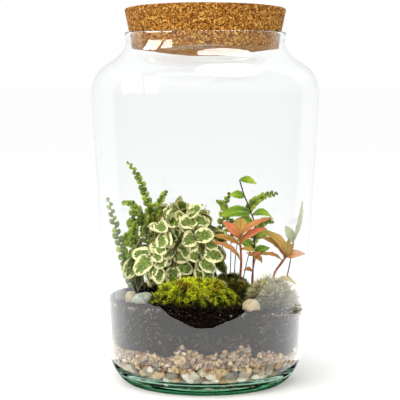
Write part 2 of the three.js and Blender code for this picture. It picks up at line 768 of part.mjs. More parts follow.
function place(name, material, geometry, group = part) {
  const mesh = new THREE.Mesh(geometry, material);
  mesh.name = name;
  group.add(mesh);
}

place("jar", GLASS, jar());

const mouth = new THREE.Group();
mouth.position.z = JAR.height;
mouth.rotation.x = -CORK.lean;
part.add(mouth);
place("cork_stopper", CORKBOARD, cork(), mouth);

place("pebble_layer", PEBBLE, pebbles());
place("granule_layer", GRANULE, layer({
  floor: (x, y) => pebbleTop(x, y) + GAP, top: granuleTop,
  topRings: 2, floorRings: 2, sideRows: 3, relief: granuleRelief,
}));

const upward = vec(0, 0, 1);
const rooted = [
  ...FRONDS.map(({ foot, bend }) => {
    const start = footOf(...foot);
    return { foot: start, way: vec(...bend[0]).sub(start).normalize(), radius: LEAFLET.neck };
  }),
  ...STEMS.map(({ foot, radius }) => ({ foot: footOf(...foot), way: upward, radius })),
  ...FIG_STEMS.map((stem) => ({ foot: figFoot(stem), way: upward, radius: FIG_STEM.radius })),
];

// A layer or mound of the ground, with a bed for each stone and a plain hole for each stem
function ground(geometry) {
  let solid = solidOf(geometry);
  for (const stone of STONES) solid = solid.subtract(stoneSolid(stone, GAP));
  for (const { foot, way, radius } of rooted) {
    const bottom = foot.clone().addScaledVector(way, -GAP);
    const line = new THREE.LineCurve3(bottom, foot.clone().addScaledVector(way, HOLE.depth + 16));
    const hole = new THREE.ExtrudeGeometry(ngon(radius + HOLE.play, HOLE.sides), {
      steps: 1,
      extrudePath: line,
    });
    solid = solid.subtract(solidOf(hole));
  }
  return geometryOf(solid);
}

place("soil", SOIL, ground(layer({
  floor: (x, y) => granuleTop(x, y) + GAP, top: soilTop,
  topRings: 4, floorRings: 2, sideRows: 2, relief: smooth,
})));
for (const mound of MOUNDS) place(mound.name, MOSS, ground(moundGeometry(mound)));
for (const stone of STONES) place(stone.name, STONE, geometryOf(stoneSolid(stone)));
FRONDS.forEach((frond, i) => {
  place("fern_frond_" + String(i + 1).padStart(2, "0"), FERN, frondGeometry(frond));
});
FIG_STEMS.forEach((stem, i) => {
  place("fig_stem_" + String(i + 1).padStart(2, "0"), FIG, geometryOf(figStem(stem, i)));
});
for (const stem of STEMS) place(stem.name, stem.color, geometryOf(plantStem(stem)));
for (const leaf of LITTER) place(leaf.name, leaf.color, fallenLeaf(leaf));
place("twig", WOOD, twig());

export default part;
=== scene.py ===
"""A closed bottle garden, dressed: a corked glass jar with pebbles, granules, soil, stones, moss and plants.

Shapes are worked out in millimetres and written in metres, in the frame's own axes: +Z up, the viewer at -Y.
"""

import math
from functools import partial

import bmesh
import bpy
import numpy as np
from mathutils import Matrix, Vector, noise


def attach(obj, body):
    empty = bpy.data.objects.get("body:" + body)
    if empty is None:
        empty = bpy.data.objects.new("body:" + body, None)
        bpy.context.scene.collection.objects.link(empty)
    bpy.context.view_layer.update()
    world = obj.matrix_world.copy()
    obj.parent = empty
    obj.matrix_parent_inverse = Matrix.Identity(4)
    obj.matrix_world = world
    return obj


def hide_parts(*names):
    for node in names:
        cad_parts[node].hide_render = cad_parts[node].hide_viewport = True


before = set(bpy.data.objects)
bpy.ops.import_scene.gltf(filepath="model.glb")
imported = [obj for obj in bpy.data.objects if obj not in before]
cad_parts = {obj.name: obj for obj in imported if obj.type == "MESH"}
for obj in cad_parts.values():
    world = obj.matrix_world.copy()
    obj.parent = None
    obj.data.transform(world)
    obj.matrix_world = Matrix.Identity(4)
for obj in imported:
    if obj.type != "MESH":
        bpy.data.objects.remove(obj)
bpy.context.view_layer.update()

MM = 0.001

# Driving dimensions, in millimetres, as the solids have them, but for a floor that is 4 mm wider
# and a lip rounded by an arc
JAR = {
    "stand_radius": 85,
    "stand_width": 7,
    "punt": 2.5,
    "heel": (113.4, 46),
    "heel_curve": (14.5, 22),
    "body": (129.5, 324),
    "shoulder_curve": (50.5, 32),
    "neck": (90.2, 393),
    "lip_radius": 91.5,
    "lip_round": 1.4,
    "height": 401,
    "wall": 3.6,
    "base": 12,
    "floor_radius": 88,
}
CORK = {"top": 92.3, "bottom": 82.4, "height": 46.5, "proud": 26, "round": 1.6, "lean": math.radians(2.5)}
FILL = {"pebbles": 35, "granules": 48.5, "soil": 98}
GLASS_GAP = 0.5  # from the filling to the glass
LAYER_GAP = 0.3  # from one layer of the filling to the next
# The neck's glass is thicker here on its inside, in front and behind: heights, and how far it stands in
NECK_SWELL = {"at": 384, "by": 2.9, "above": 6, "below": 16, "turn_power": 3}
# At heights, how far the glass mirrors on its inside, and how green its base is
INNER_MIRROR = ((335, 352), (0, 0.8))
BASE_GREEN = ((0, 5, 9, 13), (1, 0.9, 0.5, 0))


# Small tools
def srgb(red, green, blue):
    """A colour as it looks on screen, 0 to 255, as linear values."""
    parts = [c / 255 for c in (red, green, blue)]
    return tuple(c / 12.92 if c <= 0.04045 else ((c + 0.055) / 1.055) ** 2.4 for c in parts)


def draws(seed):
    """Random draws that repeat from one run to the next, as the solids draw them."""
    state = seed

    def draw(low, high):
        nonlocal state
        state = (state * 1664525 + 1013904223) % 4294967296
        return low + (high - low) * state / 4294967296

    return draw


def unit(vector):
    vector = np.asarray(vector, float)
    return vector / np.linalg.norm(vector)


def unit_rows(rows):
    return rows / np.linalg.norm(rows, axis=1)[:, None]


def vec(*parts):
    return np.array(parts, float)


def full_turn(count):
    """Evenly spaced turns, once round."""
    return np.linspace(0, 2 * math.pi, count, endpoint=False)


def round_axis(radius, turn, z):
    """The place at a radius and a turn about the jar's axis, or a row of places for a row of turns."""
    return np.stack(np.broadcast_arrays(radius * np.cos(turn), radius * np.sin(turn), z), axis=-1)


def on_surface(height_of, radius, turn, lift=0.0):
    """As round_axis, but on a surface or lift above it."""
    x, y = radius * np.cos(turn), radius * np.sin(turn)
    return np.stack(np.broadcast_arrays(x, y, height_of(x, y) + lift), axis=-1)


def slopes(height_of, x, y, step):
    """How fast a surface rises along x and along y."""
    along_x = height_of(x + step, y) - height_of(x - step, y)
    along_y = height_of(x, y + step) - height_of(x, y - step)
    return along_x / (2 * step), along_y / (2 * step)


def bumps(points, scale, shift=(0, 0, 0)):
    """Smooth noise at each of the points."""
    return np.array([noise.noise(Vector(p) * scale + Vector(shift)) for p in points])


def bezier(points, share):
    """Places on a cubic curve, for one share of it or a row of shares."""
    a, b, c, d = (np.asarray(p, float) for p in points)
    t = np.asarray(share, float)[..., None]
    return (1 - t) ** 3 * a + 3 * (1 - t) ** 2 * t * b + 3 * (1 - t) * t**2 * c + t**3 * d


def smooth_curve(points, shares):
    """Places on the curve through points, by its parameter."""
    points = [np.asarray(p, float) for p in points]
    points = [2 * points[0] - points[1], *points, 2 * points[-1] - points[-2]]
    spans = len(points) - 3
    made = []
    for share in shares:
        i = min(int(share * spans), spans - 1)
        t = share * spans - i
        before, start, end, after = points[i : i + 4]
        leave, arrive = (end - before) / 2, (after - start) / 2
        made.append(
            (2 * t**3 - 3 * t**2 + 1) * start
            + (t**3 - 2 * t**2 + t) * leave
            + (3 * t**2 - 2 * t**3) * end
            + (t**3 - t**2) * arrive
        )
    return np.array(made)


def spaced(points, steps):
    """Places on the curve through points, at even distances along it."""
    fine = smooth_curve(points, np.linspace(0, 1, 201))
    length = np.concatenate([[0], np.cumsum(np.linalg.norm(np.diff(fine, axis=0), axis=1))])
    wanted = np.linspace(0, length[-1], steps + 1)
    return np.column_stack([np.interp(wanted, length, fine[:, i]) for i in range(3)])


def ball(subdivisions):
    """A ball of radius 1 as points and faces."""
    mesh = bmesh.new()
    bmesh.ops.create_icosphere(mesh, subdivisions=subdivisions, radius=1)
    mesh.verts.index_update()
    points = np.array([v.co[:] for v in mesh.verts])
    faces = [[v.index for v in f.verts] for f in mesh.faces]
    mesh.free()
    return points, np.array(faces)


def turned(points, turn, axis="Z"):
    return points @ np.array(Matrix.Rotation(turn, 3, axis)).T


def grid_faces(rows, columns, wrap=False, start=0):
    """Quads between rows of points. wrap joins the last column to the first."""
    faces = []
    for row in range(rows - 1):
        for column in range(columns if wrap else columns - 1):
            beside = (column + 1) % columns
            low, high = start + row * columns, start + (row + 1) * columns
            faces.append((low + column, low + beside, high + beside, high + column))
    return faces


def capped_faces(rows, columns):
    """The sides of a stack of rings, closed by one flat face at either end."""
    last = (rows - 1) * columns
    ends = [tuple(reversed(range(columns))), tuple(last + i for i in range(columns))]
    return grid_faces(rows, columns, wrap=True) + ends


def fan_faces(rows, columns):
    """The sides of a stack of rings, closed by a fan round the first and the second point after them."""
    faces = grid_faces(rows, columns, wrap=True)
    low, high, last = rows * columns, rows * columns + 1, (rows - 1) * columns
    for i in range(columns):
        beside = (i + 1) % columns
        faces += [(low, beside, i), (high, last + i, last + beside)]
    return faces


def linked(thing):
    bpy.context.scene.collection.objects.link(thing)
    return thing


class Shape:
    """Points, faces and colours or leaf places, gathered for one piece."""

    def __init__(self):
        self.points, self.marks, self.faces, self.kinds, self.count = [], [], [], [], 0

    def add(self, points, faces, mark=(1, 1, 1), kind=0):
        """mark is a colour, or a place on a leaf, for all of the points or for each."""
        points = np.asarray(points, float).reshape(-1, 3)
        self.points.append(points)
        self.marks.append(np.broadcast_to(np.asarray(mark, float), points.shape))
        self.faces.extend([self.count + int(i) for i in face] for face in faces)
        self.kinds.extend([kind] * len(faces))
        self.count += len(points)

    def build(self, name, materials, slot, *nodes, tidy=False):
        mesh = bpy.data.meshes.new(name)
        mesh.from_pydata((np.concatenate(self.points) * MM).tolist(), [], self.faces)
        marks = np.column_stack([np.concatenate(self.marks), np.ones(self.count)])
        mesh.attributes.new("mark", "FLOAT_COLOR", "POINT").data.foreach_set("color", marks.ravel())
        for material in materials:
            mesh.materials.append(material)
        mesh.polygons.foreach_set("material_index", self.kinds)
        mesh.polygons.foreach_set("use_smooth", [True] * len(self.faces))
        if tidy:
            work = bmesh.new()
            work.from_mesh(mesh)
            bmesh.ops.recalc_face_normals(work, faces=work.faces)
            work.to_mesh(mesh)
            work.free()
        mesh.update()
        piece = linked(bpy.data.objects.new(name, mesh))
        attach(piece, "root")
        if nodes:
            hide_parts(*nodes)
        return piece


def revolved(shape, profile, columns, marks=None):
    """A closed solid of revolution whose profile starts and ends on the axis.

    marks has one mark for each point of the profile.
    """
    turns = full_turn(columns)
    rings = [round_axis(radius, turns, z) for radius, z in profile[1:-1]]
    points = np.concatenate([*rings, [(0, 0, profile[0][1])], [(0, 0, profile[-1][1])]])
    marks = marks or [(1, 1, 1)] * len(profile)
    spread = np.repeat(np.array(marks[1:-1], float), columns, axis=0)
    spread = np.concatenate([spread, [marks[0]], [marks[-1]]])
    shape.add(points, fan_faces(len(rings), columns), spread)


# Materials
class Nodes:
    """A node tree that short calls add to. A socket given as an input is linked, a value is set."""

    def __init__(self, tree):
        self.tree = tree

    def feed(self, socket, value):
        if isinstance(value, bpy.types.NodeSocket):
            self.tree.links.new(value, socket)
        elif value is not None:
            socket.default_value = value

    def node(self, kind, inputs=(), **settings):
        made = self.tree.nodes.new("ShaderNode" + kind)
        for key, value in settings.items():
            setattr(made, key, value)
        for key, value in dict(inputs).items():
            self.feed(made.inputs[key], value)
        return made

    def math(self, operation, a, b=None):
        return self.node("Math", {0: a, 1: b}, operation=operation).outputs[0]

    def plus(self, a, b):
        return self.math("ADD", a, b)

    def less(self, a, b):
        return self.math("SUBTRACT", a, b)

    def times(self, a, b):
        return self.math("MULTIPLY", a, b)

    def split(self, vector):
        return self.node("SeparateXYZ", {"Vector": vector}).outputs

    def joined(self, x, y, z):
        return self.node("CombineXYZ", {"X": x, "Y": y, "Z": z}).outputs[0]

    def rising(self, value, start, end):
        """0 below start, 1 above end, and smooth between them."""
        inputs = {"Value": value, "From Min": start, "From Max": end}
        return self.node("MapRange", inputs, interpolation_type="SMOOTHSTEP").outputs[0]

    def mirrored(self):
        """1 for what a mirror image shows, 0 for all else."""
        path = self.node("LightPath").outputs
        return self.times(path["Is Glossy Ray"], path["Is Reflection Ray"])


class Paint(Nodes):
    """A material on the usual surface shader, some of whose sockets have the given values."""

    def __init__(self, name, **values):
        self.material = bpy.data.materials.new(name)
        self.material.use_nodes = True
        super().__init__(self.material.node_tree)
        self.surface = self.tree.nodes["Principled BSDF"]
        self.output = self.tree.nodes["Material Output"]
        for socket, value in values.items():
            self.surface.inputs[socket.replace("_", " ")].default_value = value

    def place(self):
        return self.node("TexCoord").outputs["Object"]

    def mark(self):
        return self.node("Attribute", attribute_name="mark").outputs["Color"]

    def noise(self, scale, detail, vector=None, rough=0.5):
        inputs = {"Vector": vector or self.place(), "Scale": scale, "Detail": detail, "Roughness": rough}
        return self.node("TexNoise", inputs).outputs["Fac"]

    def cells(self, scale, output="Distance", feature="F1"):
        inputs = {"Vector": self.place(), "Scale": scale}
        return self.node("TexVoronoi", inputs, feature=feature).outputs[output]

    def ramp(self, amount, *stops):
        """Colours by an amount. A stop is a place from 0 to 1 and its colour, or one number for a grey."""
        made = self.node("ValToRGB", {"Fac": amount})
        places = made.color_ramp.elements
        while len(places) < len(stops):
            places.new(1)
        for place, (where, colour) in zip(places, stops):
            place.position = where
            place.color = (*(colour if isinstance(colour, tuple) else (colour,) * 3), 1)
        return made.outputs["Color"]

    def mix(self, share, a, b, blend="MIX"):
        made = self.node("Mix", {"Factor": share}, data_type="RGBA", blend_type=blend)
        for socket, colour in ((made.inputs[6], a), (made.inputs[7], b)):
            self.feed(socket, (*colour, 1) if isinstance(colour, tuple) else colour)
        return made.outputs[2]

    def over(self, under, colour, amount, *stops):
        """One colour over another, as far as a ramp of the amount says."""
        return self.mix(self.ramp(amount, *stops), under, colour)

    def shaded(self, colour, amount, *stops):
        return self.mix(1.0, colour, self.ramp(amount, *stops), "MULTIPLY")

    def blend(self, share, shader, other):
        """Shows one shader where share is 0 and the other where it is 1."""
        made = self.node("MixShader", {0: share, 1: shader.outputs[0], 2: other.outputs[0]})
        self.feed(self.output.inputs["Surface"], made.outputs[0])

    def done(self, colour, relief=None, depth=0.0, strength=1.0):
        """The material in this colour. depth is how far its relief reaches, in millimetres."""
        self.feed(self.surface.inputs["Base Color"], colour)
        if relief is not None:
            bump = self.node("Bump", {"Height": relief, "Distance": depth * MM, "Strength": strength})
            self.feed(self.surface.inputs["Normal"], bump.outputs[0])
        return self.material


def glass_material():
    """Clear glass with a green cast in its depth. Lamps and scattered light pass it without a bend.

    The mark's first part is how far it mirrors: fully outside, and inside only at the shoulder.
    Its second part is the green of the thick base.
    """
    paint = Paint("jar_glass", Roughness=0, IOR=1.5, Transmission_Weight=1)
    mirror, green, _ = paint.split(paint.mark())
    paint.feed(paint.surface.inputs["Specular Tint"], paint.joined(mirror, mirror, mirror))
    path = paint.node("LightPath").outputs
    straight = paint.math("MAXIMUM", path["Is Shadow Ray"], path["Is Diffuse Ray"])
    paint.blend(straight, paint.surface, paint.node("BsdfTransparent"))
    depth = paint.node("VolumeAbsorption", {"Color": (0.45, 0.88, 0.7, 1), "Density": 5.0})
    paint.feed(paint.output.inputs["Volume"], depth.outputs[0])
    return paint.done(paint.ramp(green, (0, 1), (0.5, (0.06, 0.34, 0.13)), (1, (0.008, 0.1, 0.03))))


def cork_material():
    """Pressed grains, each in its own shade, with darker seams and specks."""
    paint = Paint("cork", Roughness=0.85, Specular_IOR_Level=0.25)
    grain = 560
    own = paint.split(paint.cells(grain, "Color"))[0]
    light = [(0.3, srgb(160, 96, 22)), (0.65, srgb(200, 134, 44)), (1, srgb(238, 186, 96))]
    colour = paint.ramp(own, (0, srgb(104, 52, 8)), *light)
    colour = paint.shaded(colour, paint.cells(grain, feature="DISTANCE_TO_EDGE"), (0, 0.4), (0.14, 1))
    colour = paint.over(srgb(62, 30, 8), colour, paint.noise(700, 4, rough=0.6), (0.42, 0), (0.46, 1))
    relief = paint.plus(paint.cells(grain), paint.noise(900, 3))
    return paint.done(colour, relief, depth=0.5, strength=0.7)


def mineral(name, roughness, speck, relief, depth, darkest=0.72):
    """Stone or fired clay in the colour of its mark, mottled at the scale speck.

    relief is the scale of its relief, and depth the relief's reach in millimetres.
    """
    paint = Paint(name, Roughness=roughness)
    mottle = paint.noise(speck, 4, rough=0.65)
    colour = paint.shaded(paint.mark(), mottle, (0.3, darkest), (0.7, 1.12))
    return paint.done(colour, paint.noise(relief, 4), depth, strength=0.6)


def soil_material():
    """Dark crumbs. The mark's first part is 1 on soil and 0 on light grit and roots."""
    paint = Paint("soil", Roughness=0.9, Specular_IOR_Level=0.05)
    crumb = paint.noise(420, 5, rough=0.7)
    light = [(0.62, srgb(46, 32, 20)), (0.74, srgb(128, 102, 74))]
    dark = paint.ramp(crumb, (0.44, srgb(1, 1, 0)), (0.54, srgb(12, 8, 4)), *light)
    grit = 360
    own = paint.split(paint.cells(grit, "Color"))[0]
    rare = paint.shaded(paint.ramp(paint.cells(grit), (0.2, 1), (0.34, 0)), own, (0.9, 0), (0.92, 1))
    dark = paint.mix(rare, dark, srgb(104, 84, 62))
    pale = paint.ramp(paint.noise(300, 3), (0.35, srgb(106, 88, 66)), (0.65, srgb(186, 172, 152)))
    colour = paint.mix(paint.split(paint.mark())[0], pale, dark)
    return paint.done(colour, paint.noise(500, 5, rough=0.7), depth=1.2, strength=0.8)


def moss_material():
    paint = Paint("moss", Roughness=0.75, Specular_IOR_Level=0.3)
    return paint.done(paint.shaded(paint.mark(), paint.noise(90, 3), (0.3, 0.65), (0.7, 1.2)))


def blade_parts(paint):
    """A leaf's mark as its length, the distance from its rib, and its own number."""
    along, across, number = paint.split(paint.mark())
    return along, paint.math("ABSOLUTE", paint.less(paint.times(across, 2.0), 1.0)), number


def veins(paint, along, side, count, slant):
    """Side veins that run out from the rib, as a height from 0 to 1."""
    place = paint.less(along, paint.times(side, slant))
    wave = paint.math("SINE", paint.times(place, 2 * math.pi * count))
    return paint.math("POWER", paint.times(paint.plus(wave, 1.0), 0.5), 3.0)


def fig_material():
    """Mottled green with a ragged cream margin."""
    paint = Paint("fig_leaf", Roughness=0.42, Specular_IOR_Level=0.45)
    along, side, number = blade_parts(paint)
    spot = paint.joined(paint.times(along, 2.2), paint.times(side, 1.4), paint.times(number, 40))
    ragged = paint.times(paint.less(paint.noise(2.6, 3, spot), 0.5), 1.2)
    ends = paint.times(paint.math("ABSOLUTE", paint.less(along, 0.46)), 1.75)
    edge = paint.plus(paint.math("MAXIMUM", side, ends), ragged)
    light = [(0.6, srgb(116, 136, 38)), (0.75, srgb(152, 166, 76))]
    dark = [(0.3, srgb(50, 70, 6)), (0.46, srgb(92, 110, 18))]
    green = paint.ramp(paint.noise(3.4, 2, spot), *dark, *light)
    height = veins(paint, along, side, count=5, slant=0.28)
    green = paint.over(green, srgb(150, 182, 110), height, (0.5, 0), (1, 0.5))
    cream = paint.ramp(paint.noise(5, 2, spot), (0.3, srgb(236, 228, 146)), (0.7, srgb(253, 248, 206)))
    return paint.done(paint.over(green, cream, edge, (0.6, 0), (0.7, 1)), height, depth=0.25, strength=0.6)


def leaf_material(name, tones, edge, rib, roughness=0.42, vein_count=8, varied=0.5):
    """A leaf with tones along its length, and a paler or darker edge, rib and side veins.

    varied is how far its tone may lie from that of the next leaf.
    """
    edge, rib = srgb(*edge), srgb(*rib)
    stops = [(i / (len(tones) - 1), srgb(*tone)) for i, tone in enumerate(tones)]
    paint = Paint(name, Roughness=roughness, Specular_IOR_Level=0.45)
    along, side, number = blade_parts(paint)
    height = veins(paint, along, side, vein_count, slant=0.25)
    colour = paint.ramp(paint.plus(along, paint.times(paint.less(number, 0.5), varied)), *stops)
    colour = paint.over(colour, edge, side, (0.72, 0), (0.98, 0.75))
    colour = paint.over(colour, rib, side, (0.03, 0.9), (0.12, 0))
    colour = paint.over(colour, rib, height, (0.4, 0), (1, 0.35))
    colour = paint.shaded(colour, paint.noise(260, 3), (0.3, 0.78), (0.7, 1.12))
    return paint.done(colour, height, depth=0.3, strength=0.7)


def pink_material():
    """Coral leaves that turn gold and olive with age: the mark's third part is a leaf's age."""
    paint = Paint("pink_leaf", Roughness=0.4, Specular_IOR_Level=0.45)
    along, side, age = blade_parts(paint)
    height = veins(paint, along, side, count=8, slant=0.25)
    young = paint.ramp(along, (0.05, srgb(190, 84, 60)), (0.5, srgb(234, 108, 88)), (0.95, srgb(222, 72, 68)))
    old = paint.ramp(along, (0.05, srgb(160, 96, 40)), (0.3, srgb(188, 160, 48)), (0.95, srgb(134, 150, 40)))
    colour = paint.mix(age, young, old)
    colour = paint.over(colour, srgb(220, 92, 78), side, (0.74, 0), (0.98, 0.75))
    colour = paint.over(colour, srgb(158, 70, 44), side, (0.04, 0.85), (0.14, 0))
    colour = paint.over(colour, srgb(206, 176, 92), height, (0.5, 0), (1, 0.3))
    colour = paint.over(colour, srgb(168, 160, 56), paint.noise(170, 3), (0.35, 0), (0.65, 0.4))
    return paint.done(colour, height, depth=0.3, strength=0.7)


def bark_material(name, dark, light, scale=300):
    paint = Paint(name, Roughness=0.6, Specular_IOR_Level=0.35)
    colour = paint.ramp(paint.noise(scale, 3), (0.35, srgb(*dark)), (0.65, srgb(*light)))
    return paint.done(colour, paint.noise(scale * 2, 3), depth=0.15, strength=0.5)


# Jar and cork
def outer_profile(steps=28):
    """The wall's outer face as radii and heights: two curves and the leaning side between them."""
    (heel_r, heel_z), (body_r, body_z), (neck_r, neck_z) = JAR["heel"], JAR["body"], JAR["neck"]
    lean = (body_r - heel_r) / (body_z - heel_z)
    heel_start, heel_end = JAR["heel_curve"]
    rise, fall = JAR["shoulder_curve"]
    foot = JAR["stand_radius"]
    heel_bend = [(foot + heel_start, 0), (heel_r - lean * heel_end, heel_z - heel_end)]
    shoulder_bend = [(body_r + lean * rise, body_z + rise), (neck_r, neck_z - fall)]
    shares = np.linspace(0, 1, steps + 1)
    heel = bezier([(foot, 0), *heel_bend, (heel_r, heel_z)], shares)
    shoulder = bezier([(body_r, body_z), *shoulder_bend, (neck_r, neck_z)], shares)
    body = [(heel_r + lean * (z - heel_z), z) for z in np.linspace(heel_z, body_z, 9)[1:-1]]
    return [*map(tuple, heel), *body, *map(tuple, shoulder)]


def swell_neck(points, inner):
    """Moves the neck's inner points in, where its glass is thicker."""
    radius, z = np.maximum(np.hypot(points[:, 0], points[:, 1]), 1), points[:, 2]
    up = z - NECK_SWELL["at"]
    away = up / np.where(up > 0, NECK_SWELL["above"], NECK_SWELL["below"])
    facing = np.abs(points[:, 1] / radius) ** NECK_SWELL["turn_power"]
    points[:, :2] *= (1 - inner * facing * NECK_SWELL["by"] * np.exp(-(away**2)) / radius)[:, None]


def inner_profile(steps=28):
    """The wall's inner face: the heel's own curve, then the outer face moved in by the wall."""
    outer, wall = outer_profile(steps), JAR["wall"]
    first = next(i for i, (_, z) in enumerate(outer) if z >= JAR["heel"][1] - 0.01)
    inner = []
    for i in range(first, len(outer)):
        (r0, z0), (r1, z1) = outer[i - 1], outer[min(i + 1, len(outer) - 1)]
        length = math.hypot(r1 - r0, z1 - z0)
        inner.append((outer[i][0] - wall * (z1 - z0) / length, outer[i][1] + wall * (r1 - r0) / length))
    (floor_r, floor_z), (top_r, top_z) = (JAR["floor_radius"], JAR["base"]), inner[0]
    curve = [(floor_r, floor_z), (floor_r + 12, floor_z), (top_r - 1, top_z - 22), (top_r, top_z)]
    heel = [tuple(p) for p in bezier(curve, np.linspace(0, 1, steps + 1))]
    return [*heel, *inner[1:]]


OUTER = outer_profile()
INNER = inner_profile()


def inside_radius(z):
    radii, heights = zip(*INNER)
    return np.interp(z, heights, radii)


def make_jar():
    top, lip, worn = JAR["height"], JAR["lip_radius"], JAR["lip_round"]
    mouth = JAR["neck"][0] - JAR["wall"]
    inner_lip = mouth + lip - JAR["neck"][0] + worn
    stand = JAR["stand_radius"] - JAR["stand_width"]
    quarter = [(math.cos(t), math.sin(t)) for t in np.linspace(0, 1.57, 6)]
    rounding = [(lip - worn + worn * across, top - worn + worn * up) for across, up in quarter]
    fall = [(inner_lip - worn * up, top - worn + worn * across) for across, up in quarter]
    punt = [(radius, JAR["punt"]) for radius in (0, stand - 30, stand - 6)]
    floor = [(JAR["floor_radius"] * 0.5, JAR["base"]), (0, JAR["base"])]
    outside = [*punt, (stand, 0), *OUTER, (lip, top - 4), *rounding]
    inside = [*fall, (mouth, top - 6), *reversed(INNER), *floor]
    profile = outside + inside
    mirrors = [1] * (len(outside) + 1) + [np.interp(z, *INNER_MIRROR) for _, z in inside[1:]]
    greens = [np.interp(z, *BASE_GREEN) for _, z in profile]
    shape = Shape()
    revolved(shape, profile, 180, [(mirror, green, 0) for mirror, green in zip(mirrors, greens)])
    swell_neck(shape.points[0], shape.marks[0][:, 0] < 1)
    shape.build("jar_clear", [glass_material()], "jar_glass", "jar", tidy=True)


def make_cork():
    """The stopper as a plain tapered disc, which is pitted all over and then set in the mouth."""
    bottom, top, worn, height = (CORK[key] for key in ("bottom", "top", "round", "height"))
    flare = (top - bottom) / height

    def arc(radius, z, start):
        turns = np.linspace(start, start + math.pi / 2, 5)
        return [(radius - worn + worn * math.cos(t), z + worn * math.sin(t)) for t in turns]

    side = [(bottom + flare * z, z) for z in np.linspace(worn, height - worn, 26)[1:-1]]
    edges = arc(bottom + flare * worn, worn, -math.pi / 2), arc(top - flare * worn, height - worn, 0)
    shares = np.linspace(0.04, 0.96, 24)
    under, over = [(bottom * share, 0) for share in shares], [(top * share, height) for share in shares[::-1]]
    shape = Shape()
    revolved(shape, [(0, 0), *under, *edges[0], *side, *edges[1], *over, (0, height)], 200)
    points = shape.points[0]
    out = np.array([Vector(way).normalized() for way in points * (1, 1, 1.5) - (0, 0, 40)])
    pits = bumps(points, 0.42) * 0.35 + bumps(points, 0.11) * 0.3 - 0.35
    crumbs = np.maximum(0, bumps(points, 0.24, (7, 3, 1)) - 0.3)
    points = points + out * (pits - 1.6 * crumbs)[:, None] + (0, 0, CORK["proud"] - height)
    shape.points = [turned(points, -CORK["lean"], "X") + (0, 0, JAR["height"])]
    shape.build("cork_stopper_grained", [cork_material()], "cork", "cork_stopper", tidy=True)


# Ground
def soil_top(x, y):
    hill = 8 * np.exp(-((x - 12) ** 2 + (y - 8) ** 2) / 48**2)
    return FILL["soil"] - 0.05 * x - 0.0006 * x**2 + 0.7 * np.sin(x * 0.05) * np.cos(y * 0.045) + hill


def pebble_top(x, y):
    return FILL["pebbles"] + 1.5 * np.sin(x * 0.06) * np.cos(y * 0.05)


def granule_top(x, y):
    return FILL["granules"] - 0.03 * x + 2.2 * np.sin(x * 0.085 + 2.2) + 1.2 * np.cos(y * 0.06)


# Heaps and dips of the granules against the glass: degrees from the front to the right, and millimetres
HEAPS = [
    (-56, -5), (-27, -2), (-22, -4), (-13, 8), (0, -2), (15, 7), (26, 10), (29, -7), (35, 0), (52, -4.5),
    (80, 3), (110, -5), (135, 6), (160, -3), (190, 5), (215, -6), (240, 4), (265, -2), (290, 2),
]


def granule_edge(x, y):
    """The granules' top, with the heaps that show against the glass."""
    heap = np.interp(np.degrees(np.arctan2(x, -y)), *zip(*HEAPS), period=360)
    near_glass = np.clip(np.hypot(x, y) / inside_radius(FILL["granules"]), 0, 1) ** 5
    return granule_top(x, y) + heap * near_glass


def rim_place(turn, height_of, back=GLASS_GAP):
    """Where a surface meets the glass."""
    radius = 100.0
    for _ in range(5):
        radius = inside_radius(height_of(radius * np.cos(turn), radius * np.sin(turn))) - back
    return radius


def bed(shape, floor, top, columns, rings, side_rows, back, rumple, mark=(1, 1, 1)):
    """A layer of the filling. back is how far its side stands from the glass, rumple its roughness."""
    turns = full_turn(columns)
    low_rim, high_rim = rim_place(turns, floor, back), rim_place(turns, top, back)
    shares = np.linspace(0, 1, max(3, rings // 4) + 1)[1:]
    rows = [on_surface(floor, low_rim * share, turns) for share in shares]
    low, high = rows[-1][:, 2], on_surface(top, high_rim, turns)[:, 2]
    for level in range(1, side_rows):
        z = low + (high - low) * level / side_rows
        knock = bumps(round_axis(108, turns, z), 0.35)
        rows.append(round_axis(inside_radius(z) - back + rumple * (knock - 0.6), turns, z))
    for ring in range(rings, 0, -1):
        radius = high_rim * ring / rings
        knock = bumps(round_axis(radius, turns, 3), 0.16) + 0.5 * bumps(round_axis(radius, turns, 9), 0.45)
        rows.append(on_surface(top, radius, turns, rumple * knock))
    ends = [(0, 0, floor(0, 0)), (0, 0, top(0, 0))]
    shape.add([*np.concatenate(rows), *ends], fan_faces(len(rows), columns), mark)


PEBBLE_COLOURS = [
    (228, 222, 204), (206, 194, 166), (192, 168, 126), (158, 150, 132), (112, 112, 104), (216, 194, 152),
    (184, 150, 104), (220, 210, 188), (140, 132, 116), (206, 180, 136), (236, 230, 212), (176, 164, 140),
    (200, 190, 170),
]
PEBBLE_GAP = 0.9  # from a pebble to the glass
# Pebbles against the glass, one line for each row: height, how many, how far they lean in degrees,
# how tall they are and how far in they stand
PEBBLE_ROWS = [
    (15.8, 46, 66, 8, 4.5),
    (19.5, 46, 46, 10.5, 1),
    (25.5, 45, 34, 12, 0),
    (31.5, 46, 20, 12, 0),
    (28, 44, 20, 14, 7),
]
GRANULE_COLOURS = [
    (214, 178, 122), (226, 200, 154), (194, 150, 98), (240, 224, 194), (160, 118, 70), (200, 166, 130),
    (112, 80, 46), (218, 188, 138),
]
GRANULE_COUNT = 3300
GRIT_COUNT, ROOT_COUNT = 900, 900
CRUMB_COUNT, RIM_CRUMB_COUNT, FIBRE_COUNT = 1500, 1100, 1600
# Marks of the soil's material
SOIL_MARK, PALE_MARK = (1, 1, 1), (0, 1, 1)


